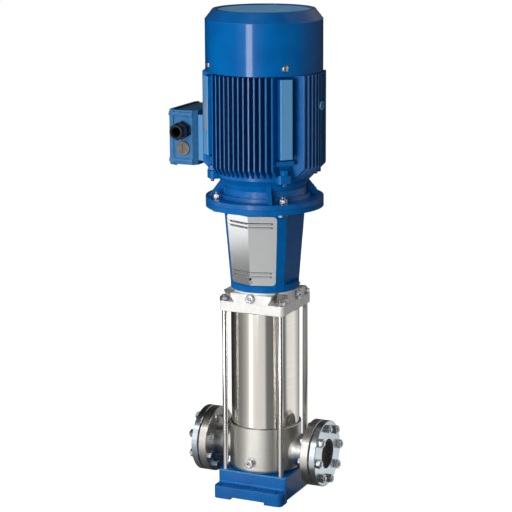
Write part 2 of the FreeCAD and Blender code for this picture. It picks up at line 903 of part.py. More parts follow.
def top_chamber():
    """Chamber over the last stage: spider for the upper bush, and windows to the space outside."""
    wall = tube(stack_r, stack_r - stack_wall * 1.5, stack_high, chamber_high)
    window_angle = 360.0 / outlet_count * outlet_share
    window = flat([Vector(stack_r - stack_wall * 2, 0, stack_high + outlet_frame + 4),
                   Vector(stack_r + 2, 0, stack_high + outlet_frame + 4),
                   Vector(stack_r + 2, 0, chamber_high - outlet_frame),
                   Vector(stack_r - stack_wall * 2, 0, chamber_high - outlet_frame)])
    window = window.revolve(ORIGIN, Z_AXIS, window_angle)
    wall = cut_all(wall, around(window, outlet_count, 8.0))
    arms = spokes(bush_outer_r + bush_hub_wall - 1, stack_r - 2, stack_high, stack_high + 6)
    return joined([wall, bushed_hub(stack_high, stack_high + upper_bush_hub)] + arms)


def spacer_ends():
    """Lower and upper height of each spacer on the shaft."""
    ends = [(stack_low - neck_dip - 2 - bush_length - 1, stack_low + hub_low)]
    for number in range(1, stages):
        ends.append((stage_floor(number) + hub_top, stage_floor(number + 1) + hub_low))
    ends.append((stage_floor(stages) + hub_top, stack_high + upper_bush_hub + 2))
    return ends


def impeller_spacers():
    """Sleeves that hold the impellers apart; the end ones run in the bushes."""
    return Part.makeCompound([tube(hub_r, shaft_fit_r, low, high) for low, high in spacer_ends()])


def pump_shaft():
    """Pump shaft with a collar over the stack; its lower end takes the lock nut."""
    collar_low = spacer_ends()[-1][1]
    collar_high = collar_low + shaft_collar_high
    return spun([(0, pump_shaft_low), (pump_shaft_r - 1, pump_shaft_low),
                 (pump_shaft_r, pump_shaft_low + 1), (pump_shaft_r, collar_low),
                 (shaft_collar_r, collar_low), (shaft_collar_r, collar_high), (pump_shaft_r, collar_high),
                 (pump_shaft_r, pump_shaft_high), (0, pump_shaft_high)])


def shaft_nut():
    """Lock nut that clamps spacers and impellers against the shaft's collar."""
    top = spacer_ends()[0][0]
    nut = hexagon(shaft_nut_flats, Vector(0, 0, top - shaft_nut_high), Z_AXIS, shaft_nut_high)
    return nut.cut(post(shaft_fit_r, top - shaft_nut_high, top))


# Shaft seal

def seal_housing():
    """Plate in the head with a cup that holds the fixed ring of the mechanical seal."""
    top = lantern_low
    seat_top = seal_cup_low + seal_seat_high
    return spun([(seal_seat_r + seat_gap, seal_cup_low), (seal_cup_r, seal_cup_low),
                 (seal_cup_r, top - seal_plate_thick), (seal_plate_r, top - seal_plate_thick),
                 (seal_plate_r, top - 1), (seal_seat_r, top - 1), (seal_seat_bore_r + 2, top + 2),
                 (seal_seat_bore_r, top + 2), (seal_seat_bore_r, seat_top),
                 (seal_seat_r + seat_gap, seat_top)])


def seal_seat():
    """Fixed ring of the mechanical seal."""
    return tube(seal_seat_r, seal_seat_bore_r, seal_cup_low, seal_cup_low + seal_seat_high)


def seal_rotating_head():
    """Turning part of the mechanical seal: face ring, spring barrel and drive ring on the shaft."""
    top = seal_cup_low - face_gap
    low = top - seal_head_high
    ring = seal_head_high / 3
    return spun([(shaft_fit_r, low), (seal_head_r, low), (seal_head_r, low + ring),
                 (seal_spring_r, low + ring), (seal_spring_r, top - ring), (seal_head_r, top - ring),
                 (seal_head_r, top - 2), (seal_seat_bore_r + 4, top), (shaft_fit_r, top)])


# Coupling

def coupling_screw_places():
    """Places of the clamp bolts, as (x, z)."""
    heights = (coupling_low + coupling_bolt_inset, coupling_high - coupling_bolt_inset)
    return [(side * coupling_bolt_x, z) for side in (-1, 1) for z in heights]


def coupling_shell():
    """Front half of the shaft coupling, clamped on both shaft ends."""
    outside = post(coupling_r, coupling_low, coupling_high)
    ends = level_edges(outside, coupling_low) + level_edges(outside, coupling_high)
    outside = outside.makeChamfer(coupling_edge, ends)
    middle_low = pump_shaft_high + coupling_relief
    middle_high = motor_shaft_low - coupling_relief
    pump_end = post(shaft_fit_r, coupling_low, middle_low)
    motor_end = post(motor_shaft_r + seat_gap, middle_high, coupling_high)
    middle = post(coupling_waist_r, middle_low, middle_high)
    rear = block((-coupling_r, -coupling_split / 2, coupling_low), (coupling_r, coupling_r, coupling_high))
    holes = []
    for x, z in coupling_screw_places():
        holes.append(bar(coupling_bolt_r + 0.5, Vector(x, -coupling_r, z), Y_AXIS, coupling_r))
        holes.append(bar(coupling_bolt_head_r + 1, Vector(x, -coupling_r, z), Y_AXIS,
                         coupling_bolt_sink + coupling_bolt_head_r))
    return cut_all(outside, [pump_end, motor_end, middle, rear] + holes)


def coupling_seat_y():
    """Depth at which the clamp bolts' heads bear in a coupling shell."""
    return coupling_r - coupling_bolt_sink - coupling_bolt_head_r


def coupling_bolts():
    """Clamp bolts with a cylinder head in front and a nut behind, through both shells."""
    seat = coupling_seat_y()
    pieces = []
    for x, z in coupling_screw_places():
        shank = bar(coupling_bolt_r, Vector(x, -seat, z), Y_AXIS, 2 * seat + coupling_bolt_head_r)
        head = bar(coupling_bolt_head_r, Vector(x, -seat, z), -Y_AXIS, coupling_bolt_head_r)
        nut = hexagon(coupling_bolt_head_r * 1.8, Vector(x, seat, z), Y_AXIS, coupling_bolt_head_r)
        pieces.append(joined([shank, head]))
        pieces.append(nut.cut(bar(coupling_bolt_r, Vector(x, seat, z), Y_AXIS, coupling_bolt_head_r)))
    return Part.makeCompound(pieces)


# Motor lantern and guards

def lantern_scale(height):
    """Size of the lantern's outline at a height, as a share of its named outline."""
    share = (height - lantern_low) / (lantern_top - lantern_low)
    return lantern_scale_low + (lantern_scale_high - lantern_scale_low) * share


def lantern_wire(height, inset):
    """Ten-cornered outline of the lantern at a height, drawn in by an inset."""
    scale = lantern_scale(height) - inset / lantern_side_x
    quarter = [(lantern_side_x, -lantern_side_y), (lantern_side_x, lantern_side_y),
               (lantern_cheek_x, lantern_cheek_y), (0, lantern_front_y)]
    points = quarter + [(-x, y) for x, y in reversed(quarter[:3])]
    points += [(-lantern_cheek_x, -lantern_cheek_y), (0, -lantern_front_y),
               (lantern_cheek_x, -lantern_cheek_y)]
    corners = [Vector(x * scale, y * scale, height) for x, y in points]
    return Part.makePolygon(corners + corners[:1])


def motor_lantern():
    """Cast lantern between pump head and motor: foot ring, tapering walls with two windows, flange."""
    ring_top = lantern_low + lantern_foot_high
    flange_low = lantern_top - lantern_flange_thick
    wall_low = lantern_low + lantern_foot_high / 2
    outside = Part.makeLoft([lantern_wire(wall_low, 0), lantern_wire(flange_low + 1, 0)], True, True)
    inside = Part.makeLoft([lantern_wire(ring_top, lantern_wall), lantern_wire(flange_low + 1, lantern_wall)],
                           True, True)
    foot = post(lantern_foot_r, lantern_low, ring_top)
    foot = foot.makeFillet(4.0, level_edges(foot, ring_top))
    flange = post(motor_flange_r, flange_low, lantern_top)
    casting = joined([foot, outside, flange])
    window = flat([Vector(-window_half_low, -2 * lantern_front_y, window_low),
                   Vector(window_half_low, -2 * lantern_front_y, window_low),
                   Vector(window_half_high, -2 * lantern_front_y, window_high),
                   Vector(-window_half_high, -2 * lantern_front_y, window_high)])
    window = window.extrude(Vector(0, 4 * lantern_front_y, 0))
    foot_bore = post(lantern_foot_bore_r, lantern_low, ring_top)
    opening = post(lantern_opening_r, flange_low, lantern_top)
    register = post(motor_spigot_r + seat_gap, lantern_top - motor_spigot, lantern_top)
    bolt_holes = at_quarters(post(motor_hole_r, flange_low, lantern_top, motor_pitch_r))
    screws = at_quarters(post(foot_screw_r, lantern_low, ring_top, foot_screw_pitch_r))
    return cut_all(casting, [inside, window, foot_bore, opening, register] + bolt_holes + screws)


def bent_strip(low, high, lift, thick):
    """Sheet over the front window between two heights, creased along its middle line."""
    wires = []
    for height in (low, high):
        scale = lantern_scale(height)
        side_x = lantern_cheek_x * scale
        side_y = -lantern_cheek_y * scale - lift
        front_y = -lantern_front_y * scale - lift
        corners = [Vector(-side_x, side_y, height), Vector(0, front_y, height),
                   Vector(side_x, side_y, height), Vector(side_x, side_y - thick, height),
                   Vector(0, front_y - thick, height), Vector(-side_x, side_y - thick, height)]
        wires.append(Part.makePolygon(corners + corners[:1]))
    return Part.makeLoft(wires, True, True)


def guard_outline():
    """Front view of a guard with rounded corners, as a deep block."""
    corners = []
    for height, sides in ((guard_low, (-1, 1)), (guard_high, (1, -1))):
        reach = lantern_cheek_x * lantern_scale(height)
        corners += [Vector(side * reach, -2 * lantern_front_y, height) for side in sides]
    deep = flat(corners).extrude(Vector(0, 2 * lantern_front_y, 0))
    return deep.makeFillet(guard_corner, [e for e in deep.Edges if e.BoundBox.YLength > lantern_front_y])


def coupling_guards():
    """Front and rear guard, each a creased sheet with two pressed ribs near its top and its bottom."""
    sheet = bent_strip(guard_low, guard_high, 0, guard_thick).common(guard_outline())
    clear = 2 * lantern_front_y
    sheet = sheet.cut(bar(guard_hole_r, Vector(0, -clear, guard_low + guard_hole_up), Y_AXIS, clear))
    rib_lows = (guard_low + guard_rib_inset, guard_low + guard_rib_inset + guard_rib_step,
                guard_high - guard_rib_inset, guard_high - guard_rib_inset - guard_rib_step)
    ribs = [bent_strip(low, low + guard_rib_high, guard_thick / 2, guard_thick / 2 + guard_rib_proud)
            for low in rib_lows]
    front = joined([sheet] + ribs)
    return Part.makeCompound([front, turned(front, 180)])


def lantern_screws():
    """Socket screws inside the lantern's foot ring, into the head."""
    ring_top = lantern_low + lantern_foot_high
    shank = post(foot_screw_r - seat_gap, ring_top - foot_screw_length + 2, ring_top, foot_screw_pitch_r)
    head = post(foot_screw_head_r, ring_top, ring_top + foot_screw_head, foot_screw_pitch_r)
    return Part.makeCompound(at_quarters(joined([shank, head])))


# Motor

def drive_end_shield():
    """Flange shield: flange with spigot, stepped hub with the lower bearing seat, gussets and ears."""
    bore_r = bearing_outer_r + seat_gap
    hub_out = bore_r + end_hub_wall
    seat_top = lower_bearing_z + bearing_width + 3
    inner_r = spigot_r - 10
    body = spun([(shield_bore_r, motor_face - motor_spigot), (motor_spigot_r, motor_face - motor_spigot),
                 (motor_spigot_r, motor_face), (motor_flange_r, motor_face),
                 (motor_flange_r, motor_flange_top), (shield_step_r + 2, motor_flange_top),
                 (shield_step_r, motor_flange_top + shield_step),
                 (shield_waist_r + 4, motor_flange_top + shield_step),
                 (shield_waist_r, shield_waist_z), (shield_flare_r, shield_flare_z),
                 (cover_rim_r, shield_rim_z), (cover_rim_r, frame_low),
                 (spigot_r, frame_low), (spigot_r, frame_low + frame_spigot),
                 (inner_r, frame_low + frame_spigot), (inner_r, seat_top - 2),
                 (inner_r - shield_web, shield_waist_z + 10), (hub_out, shield_waist_z + 10),
                 (hub_out, seat_top), (bore_r, seat_top), (bore_r, lower_bearing_z), (bore_r - 10, lower_bearing_z),
                 (bore_r - 10, lower_bearing_z - 8), (shield_lip_r, lower_bearing_z - 8),
                 (shield_lip_r, lower_bearing_z - 16), (hub_out, lower_bearing_z - 16),
                 (shield_bore_r - 12, lower_bearing_z - 10), (shield_bore_r, motor_face + 10)])
    gusset = flat([Vector(shield_waist_r - 2, -gusset_thick / 2, motor_flange_top - 1),
                   Vector(gusset_reach, -gusset_thick / 2, motor_flange_top - 1),
                   Vector(shield_flare_r, -gusset_thick / 2, shield_flare_z + 1),
                   Vector(shield_waist_r - 2, -gusset_thick / 2, shield_waist_z)])
    gusset = gusset.extrude(Vector(0, gusset_thick, 0))
    ear_low = frame_low - ear_thick
    ear = block((cover_rim_r - 8, -lug_width / 2, ear_low), (lug_r, lug_width / 2, frame_low))
    ear = ear.makeFillet(lug_corner, upright_edges_at(ear, lug_r))
    casting = joined([body] + around(gusset, gusset_count, gusset_first) + at_quarters(ear))
    bolts = at_quarters(post(motor_hole_r, motor_face, motor_flange_top, motor_pitch_r))
    ear_holes = at_quarters(post(lug_bolt_r + seat_gap, ear_low, frame_low, lug_bolt_pitch_r))
    return cut_all(casting, bolts + ear_holes)


def motor_flange_bolts():
    """Bolts from under the lantern's flange, with their nuts on the motor flange."""
    seat = lantern_top - lantern_flange_thick
    shank = post(motor_bolt_r, seat, motor_flange_top + motor_nut_high + motor_bolt_proud, motor_pitch_r)
    head = hexagon(motor_bolt_flats, Vector(motor_pitch_r, 0, seat), -Z_AXIS, motor_bolt_head)
    nut = hexagon(motor_bolt_flats, Vector(motor_pitch_r, 0, motor_flange_top), Z_AXIS, motor_nut_high)
    nut = nut.cut(post(motor_bolt_r, motor_flange_top, motor_flange_top + motor_nut_high, motor_pitch_r))
    return Part.makeCompound(at_quarters(joined([shank, head])) + at_quarters(nut))


def fin_group(each_way):
    """Parallel fins on the +X side of the frame, tapered, before they are trimmed to the envelope."""
    root_x = barrel_bore_r * 0.72
    fins = []
    for step in range(-each_way, each_way + 1):
        y = step * fin_pitch
        fin = flat([Vector(root_x, y - fin_root / 2, fin_low_z),
                    Vector(fin_tip_r, y - fin_tip / 2, fin_low_z),
                    Vector(fin_tip_r, y + fin_tip / 2, fin_low_z),
                    Vector(root_x, y + fin_root / 2, fin_low_z)])
        fins.append(fin.extrude(Vector(0, 0, frame_high - fin_low_z)))
    return Part.makeCompound(fins)


def motor_frame():
    """Finned frame: barrel, fin groups, diagonal pads over their yokes, lugs, box seat and eye boss."""
    barrel = tube(barrel_r, barrel_bore_r, frame_low, frame_high)
    inside_wall = barrel_bore_r + 4
    envelope = spun([(inside_wall, fin_low_z), (fin_foot_r, fin_low_z), (fin_tip_r, fin_shoulder_z),
                     (fin_tip_r, frame_high), (inside_wall, frame_high)])
    side_group = fin_group(side_fins).common(envelope)
    front_group = turned(fin_group(front_fins), 90).common(envelope)
    groups = [side_group, turned(side_group, 180), front_group, turned(front_group, 180)]
    pad = block((inside_wall, -pad_half, pad_low), (pad_r, pad_half, pad_high))
    pad = pad.makeFillet(pad_corner, upright_edges_at(pad, pad_r))
    yoke = block((inside_wall, -yoke_half, yoke_low), (yoke_r, yoke_half, yoke_high))
    lug = block((inside_wall, -lug_width / 2, frame_low), (lug_r, lug_width / 2, frame_low + lug_thick))
    lug = lug.makeFillet(lug_corner, upright_edges_at(lug, lug_r))
    seat = block((-box_seat_x, -box_seat_half, box_seat_low),
                 (-barrel_bore_r * 0.85, box_seat_half, box_seat_high))
    boss = bar(eye_boss_r, Vector(inside_wall, 0, eye_height), X_AXIS, eye_boss_out - inside_wall)
    solids = [barrel] + at_quarters(pad) + at_quarters(yoke) + at_quarters(lug) + [seat, boss]
    for group in groups:
        solids += group.Solids
    casting = joined(solids)
    bore = post(barrel_bore_r, frame_low, frame_high)
    middle = (box_seat_low + box_seat_high) / 2
    cable_way = block((-box_seat_x, -cable_way_half, middle - cable_way_half),
                      (-barrel_bore_r / 2, cable_way_half, middle + cable_way_half))
    eye_hole = bar(eye_hole_r, Vector(eye_boss_out - eye_hole_depth, 0, eye_height), X_AXIS, eye_hole_depth)
    lug_holes = at_quarters(post(lug_bolt_r + seat_gap, frame_low, frame_low + lug_thick, lug_bolt_pitch_r))
    rim_low = frame_high - rim_bolt_deep
    rim_holes = at_quarters(post(rim_bolt_r + seat_gap, rim_low, frame_high, rim_bolt_pitch_r))
    return cut_all(casting, [bore, cable_way, eye_hole] + lug_holes + rim_holes)


def shield_bolts():
    """Bolts that hold both end shields to the frame."""
    seat = frame_low + lug_thick
    low = frame_low - ear_thick - lug_bolt_proud
    shank = post(lug_bolt_r, low, seat, lug_bolt_pitch_r)
    place = Vector(lug_bolt_pitch_r, 0, seat)
    head = turned(hexagon(lug_bolt_flats, place, Z_AXIS, lug_bolt_head), 30, place)
    top_seat = frame_high + end_shield_thick
    top_low = frame_high - rim_bolt_deep + rim_bolt_tip_gap
    top_shank = post(rim_bolt_r, top_low, top_seat, rim_bolt_pitch_r)
    top_head = post(rim_bolt_head_r, top_seat, top_seat + rim_bolt_head, rim_bolt_pitch_r)
    top_bolt = joined([top_shank, top_head])
    return Part.makeCompound(at_quarters(joined([shank, head])) + at_quarters(top_bolt))


def bearing_lows():
    """Height of the lower face of each motor bearing."""
    return (lower_bearing_z, upper_bearing_z)


def raceway(low):
    """Round groove in which the balls of a bearing run."""
    return Part.makeTorus(ball_pitch_r, ball_r + run_gap, Vector(0, 0, low + bearing_width / 2))


def bearing_outer_rings():
    """Outer rings of both motor bearings."""
    inner = bearing_outer_r - bearing_ring_thick
    rings = [tube(bearing_outer_r, inner, low, low + bearing_width).cut(raceway(low))
             for low in bearing_lows()]
    return Part.makeCompound(rings)


def bearing_inner_rings():
    """Inner rings of both motor bearings, on the motor shaft."""
    outer = bearing_bore_r + bearing_ring_thick
    bore = bearing_bore_r + seat_gap
    rings = [tube(outer, bore, low, low + bearing_width).cut(raceway(low)) for low in bearing_lows()]
    return Part.makeCompound(rings)


def bearing_balls():
    """Balls of both bearings, each set in its cage."""
    pieces = []
    for low in bearing_lows():
        middle = low + bearing_width / 2
        ball = Part.makeSphere(ball_r, Vector(ball_pitch_r, 0, middle))
        hole = bar(ball_r + run_gap, Vector(bearing_bore_r, 0, middle), X_AXIS,
                   bearing_outer_r - bearing_bore_r)
        cage = tube(ball_pitch_r + cage_half, ball_pitch_r - cage_half, middle - cage_high / 2,
                    middle + cage_high / 2)
        pieces += around(ball, ball_count)
        pieces.append(cut_all(cage, around(hole, ball_count)))
    return Part.makeCompound(pieces)


def stator_core():
    """Laminated stator core pressed in the frame."""
    return tube(spigot_r, stator_bore_r, stator_low, stator_high)


def stator_windings():
    """Winding heads under and over the stator core, with rounded edges."""
    rings = []
    lower_end = stator_low - winding_high
    upper_end = stator_high + winding_high
    for low, outer_face in ((lower_end, lower_end), (stator_high, upper_end)):
        ring = tube(winding_outer_r, winding_inner_r, low, low + winding_high)
        rings.append(ring.makeFillet(winding_corner, level_edges(ring, outer_face)))
    return Part.makeCompound(rings)


def rotor_core():
    """Rotor core with its cast end rings, on the motor shaft."""
    rotor_r = stator_bore_r - air_gap
    bore = rotor_seat_r + seat_gap
    return spun([(bore, stator_low - end_ring_high), (end_ring_r, stator_low - end_ring_high),
                 (end_ring_r, stator_low), (rotor_r, stator_low), (rotor_r, stator_high),
                 (end_ring_r, stator_high), (end_ring_r, stator_high + end_ring_high),
                 (bore, stator_high + end_ring_high)])


def motor_shaft():
    """Motor shaft: coupling end below, two bearing seats, rotor seat and fan seat."""
    low_top = lower_bearing_z + bearing_width
    top_low = upper_bearing_z
    top_high = upper_bearing_z + bearing_width
    fan_top = fan_low + fan_blade_high + 4
    return spun([(0, motor_shaft_low), (motor_shaft_r - 2, motor_shaft_low),
                 (motor_shaft_r, motor_shaft_low + 2), (motor_shaft_r, lower_bearing_z),
                 (bearing_bore_r, lower_bearing_z),
                 (bearing_bore_r, low_top), (rotor_seat_r, low_top), (rotor_seat_r, top_low),
                 (bearing_bore_r, top_low), (bearing_bore_r, top_high), (fan_seat_r, top_high),
                 (fan_seat_r, fan_top), (0, fan_top)])


def fan_end_shield():
    """Upper end shield: spigot, bearing hub, and four ears that carry the cowl."""
    bore_r = bearing_outer_r + seat_gap
    hub_out = bore_r + end_hub_wall
    top = frame_high + end_shield_thick
    hub_top_z = upper_bearing_z + bearing_width + 2
    inner_r = spigot_r - 10
    disc = spun([(rotor_seat_r + 2, upper_bearing_z - 7), (hub_out, upper_bearing_z - 7),
                 (hub_out, upper_bearing_z - 1), (inner_r, upper_bearing_z - 1),
                 (inner_r, frame_high - frame_spigot), (spigot_r, frame_high - frame_spigot),
                 (spigot_r, frame_high), (barrel_r, frame_high), (barrel_r, top), (hub_out, top),
                 (hub_out, hub_top_z), (bore_r, hub_top_z), (bore_r, upper_bearing_z),
                 (rotor_seat_r + 2, upper_bearing_z)])
    ear_in = barrel_r + 3.0
    foot = block((barrel_r - 14, -end_ear_width / 2, frame_high + 3), (cowl_r, end_ear_width / 2, top))
    ear = block((ear_in, -end_ear_width / 2, frame_high + 3), (cowl_r, end_ear_width / 2, top + end_ear_high))
    casting = joined([disc] + at_quarters(foot) + at_quarters(ear))
    casting = casting.common(post(cowl_r - cowl_sheet - seat_gap, frame_low, cowl_top))
    holes = at_quarters(post(rim_bolt_r + seat_gap, frame_high, top, rim_bolt_pitch_r))
    screw = bar(cowl_screw_r + seat_gap, Vector(ear_in - 1, 0, cowl_screw_height), X_AXIS, cowl_r)
    return cut_all(casting, holes + at_quarters(screw))


def fan():
    """Radial cooling fan: hub, back plate and straight blades."""
    top = fan_low + fan_blade_high
    hub = post(fan_hub_r, fan_low, top)
    plate = post(fan_plate_r, fan_low, fan_low + fan_plate)
    blade = flat([Vector(fan_hub_r - 3, -fan_blade_thick / 2, fan_low),
                  Vector(fan_plate_r, -fan_blade_thick / 2, fan_low),
                  Vector(fan_r, -fan_blade_thick / 2, fan_low + fan_blade_high * 0.4),
                  Vector(fan_r, -fan_blade_thick / 2, top), Vector(fan_hub_r - 3, -fan_blade_thick / 2, top)])
    blade = blade.extrude(Vector(0, fan_blade_thick, 0))
    wheel = joined([hub, plate] + around(blade, fan_blades))
    return wheel.cut(post(fan_seat_r + seat_gap, fan_low, top))


def grille_slots():
    """Air slots of the cowl's grille: rings of curved slots between its spokes."""
    low = cowl_top - grille_sink - grille_sheet
    high = cowl_top - grille_sink
    ring_pitch = (grille_r - grille_wire - grille_hub_r) / grille_rings
    slots = []
    for ring in range(grille_rings):
        inner = grille_hub_r + ring * ring_pitch
        outer = inner + ring_pitch - grille_wire
        half_spoke = math.degrees(grille_wire / 2 / inner)
        section = flat([Vector(inner, 0, low), Vector(outer, 0, low), Vector(outer, 0, high),
                        Vector(inner, 0, high)])
        slot = section.revolve(ORIGIN, Z_AXIS, 360.0 / grille_spokes - 2 * half_spoke)
        slots += around(slot, grille_spokes, half_spoke)
    return slots


def fan_cowl():
    """Sheet cowl over the fan, with a sloped shoulder, a raised rim and a sunk grille."""
    low = cowl_top - grille_sink - grille_sheet
    slope = (cowl_r - cowl_ring_r) / (cowl_top - cowl_shoulder)
    rim_low = cowl_top - cowl_sheet - 1
    rim_r = cowl_ring_r + slope * (cowl_top - rim_low) - cowl_sheet * 1.4
    shell = spun([(cowl_r, cowl_low), (cowl_r, cowl_shoulder), (cowl_ring_r, cowl_top), (grille_r, cowl_top),
                  (grille_r, cowl_top - grille_sink), (0, cowl_top - grille_sink), (0, low),
                  (grille_r + 3, low), (grille_r + 3, rim_low), (rim_r, rim_low),
                  (cowl_r - cowl_sheet, cowl_shoulder - 1), (cowl_r - cowl_sheet, cowl_low)])
    holes = at_quarters(bar(cowl_screw_r + seat_gap, Vector(barrel_r, 0, cowl_screw_height), X_AXIS, cowl_r))
    return cut_all(shell, grille_slots() + holes)


def cowl_screws():
    """Dome-headed screws that hold the cowl to the end shield's ears."""
    seat = cowl_r
    start = Vector(seat - cowl_screw_length, 0, cowl_screw_height)
    shank = bar(cowl_screw_r, start, X_AXIS, cowl_screw_length)
    dome_r = (cowl_screw_head_r ** 2 + cowl_screw_head ** 2) / (2 * cowl_screw_head)
    ball = Part.makeSphere(dome_r, Vector(seat + cowl_screw_head - dome_r, 0, cowl_screw_height))
    head = ball.common(bar(cowl_screw_head_r, Vector(seat, 0, cowl_screw_height), X_AXIS, cowl_screw_head))
    return Part.makeCompound(at_quarters(joined([shank, head])))


# Terminal box

def lid_boss_places():
    """Places of the lid screws, as (y, z)."""
    edge = lid_boss_r + 3
    reach = box_half_y - lid_boss_in
    return [(side * reach, z) for side in (-1, 1) for z in (box_low + edge, box_high - edge)]


def box_outline(inset, seat_x, mouth_x):
    """Plan of the terminal box, narrower towards the motor, drawn in by an inset."""
    half = box_half_y - inset
    waist = half - box_waist_in
    return [Vector(-seat_x, -waist, 0), Vector(-box_waist_x, -half, 0), Vector(-mouth_x, -half, 0),
            Vector(-mouth_x, half, 0), Vector(-box_waist_x, half, 0), Vector(-seat_x, waist, 0)]


def terminal_box():
    """Open box on the motor's side with two threaded cable holes and four lid bosses."""
    outside = flat(box_outline(0, box_seat_x, box_mouth_x)).extrude(Vector(0, 0, box_high - box_low))
    outside = moved(outside, z=box_low)
    inner_low = box_low + box_wall
    inner_high = box_high - box_wall
    inside = flat(box_outline(box_wall, box_seat_x + box_wall, box_mouth_x))
    inside = moved(inside.extrude(Vector(0, 0, inner_high - inner_low)), z=inner_low)
    bosses = [bar(lid_boss_r, Vector(-box_mouth_x, y, z), X_AXIS, lid_boss_length)
              for y, z in lid_boss_places()]
    casting = joined([outside] + bosses).cut(inside)
    casting = joined([casting] + bosses)
    middle = (box_seat_low + box_seat_high) / 2
    way = block((-box_seat_x - box_wall, -cable_way_half, middle - cable_way_half),
                (-box_seat_x, cable_way_half, middle + cable_way_half))
    threads = [bar(gland_thread_r, Vector(-gland_x, -box_half_y, z), Y_AXIS, gland_thread_length)
               for z in (gland_height, blank_height)]
    screws = [bar(lid_screw_r, Vector(-box_mouth_x, y, z), X_AXIS, lid_screw_length)
              for y, z in lid_boss_places()]
    return cut_all(casting, [way] + threads + screws)


def terminal_lid():
    """Lid of the terminal box, a plate with rounded corners."""
    half = box_half_y + lid_lip
    low = Vector(-box_mouth_x - lid_thick, -half, box_low - lid_lip)
    lid = Part.makeBox(lid_thick, 2 * half, box_high - box_low + 2 * lid_lip, low)
    lid = lid.makeFillet(box_corner, [e for e in lid.Edges if e.BoundBox.XLength > lid_thick / 2])
    outer_edges = [e for e in lid.Edges if e.BoundBox.XMax < low.x + TINY]
    lid = lid.makeFillet(3.0, outer_edges)
    holes = [bar(lid_screw_r + 0.5, Vector(low.x, y, z), X_AXIS, lid_thick) for y, z in lid_boss_places()]
    return cut_all(lid, holes)


def lid_screws():
    """Screws of the terminal box lid."""
    face = -box_mouth_x - lid_thick
    pieces = []
    for y, z in lid_boss_places():
        shank = bar(lid_screw_r - seat_gap, Vector(face, y, z), X_AXIS, lid_screw_length)
        head = bar(lid_screw_head_r, Vector(face, y, z), -X_AXIS, lid_screw_head)
        pieces.append(joined([shank, head]))
    return Part.makeCompound(pieces)


def gland_axis(height, proud):
    """Point on a cable hole's axis, a distance proud of the box's face."""
    return Vector(-gland_x, -box_half_y - proud, height)


def cable_gland():
    """Body of the cable gland: thread in the box, hexagon and collar, bored through."""
    thread_from = gland_axis(gland_height, 0)
    thread = bar(gland_thread_r - seat_gap, thread_from, Y_AXIS, gland_thread_length)
    hex_body = turned(hexagon(gland_flats, thread_from, -Y_AXIS, gland_hex_long), 30, thread_from, Y_AXIS)
    collar = bar(gland_collar_r, gland_axis(gland_height, gland_hex_long), -Y_AXIS, gland_collar_long)
    reach = gland_hex_long + gland_collar_long
    bore = bar(gland_bore_r + 2, gland_axis(gland_height, reach), Y_AXIS, reach + gland_thread_length)
    return joined([thread, hex_body, collar]).cut(bore)


def gland_nut():
    """Dome nut of the gland: hexagon with a rounded nose and an open bore."""
    start = gland_hex_long + gland_collar_long
    nut = hexagon(gland_nut_flats, gland_axis(gland_height, start), -Y_AXIS, gland_nut_long)
    corner_r = gland_nut_flats / math.sqrt(3)
    nose = gland_nut_long * 0.4
    straight = bar(corner_r, gland_axis(gland_height, start), -Y_AXIS, gland_nut_long - nose)
    nose_start = gland_axis(gland_height, start + gland_nut_long - nose)
    cone = Part.makeCone(corner_r, gland_nut_nose_r, nose, nose_start, -Y_AXIS)
    nut = nut.common(joined([straight, cone]))
    end = start + gland_nut_long
    return nut.cut(bar(gland_bore_r, gland_axis(gland_height, end), Y_AXIS, gland_nut_long))


def blanking_plug():
    """Slotted plug in the lower cable hole."""
    thread = bar(gland_thread_r - seat_gap, gland_axis(blank_height, 0), Y_AXIS, gland_thread_length)
    head = bar(blank_head_r, gland_axis(blank_height, 0), -Y_AXIS, blank_head)
    head = head.makeFillet(2.0, [e for e in head.Edges if e.BoundBox.YMin < -box_half_y - blank_head + TINY
                                 and e.BoundBox.YLength < TINY])
    slot_y = -box_half_y - blank_head
    slot = block((-gland_x - blank_slot / 2, slot_y, blank_height - blank_head_r * 0.6),
                 (-gland_x + blank_slot / 2, slot_y + blank_slot_deep, blank_height + blank_head_r * 0.6))
    return joined([thread, head]).cut(slot)


def terminal_block():
    """Moulded block with six studs for the supply wires and the windings."""
    seat = -box_seat_x - box_wall
    middle = (box_seat_low + box_seat_high) / 2 + cable_way_half + terminal_plate_z / 2
    low_z = min(middle, box_high - box_wall - terminal_plate_z / 2 - 2) - terminal_plate_z / 2
    plate = block((seat - terminal_plate_x, -terminal_plate_y / 2, low_z),
                  (seat, terminal_plate_y / 2, low_z + terminal_plate_z))
    studs = []
    for row in (-0.5, 0.5):
        for column in (-1, 0, 1):
            place = Vector(seat, column * stud_pitch, low_z + terminal_plate_z / 2 + row * stud_pitch)
            studs.append(bar(stud_r, place, -X_AXIS, terminal_plate_x + stud_long))
    return joined([plate] + studs)


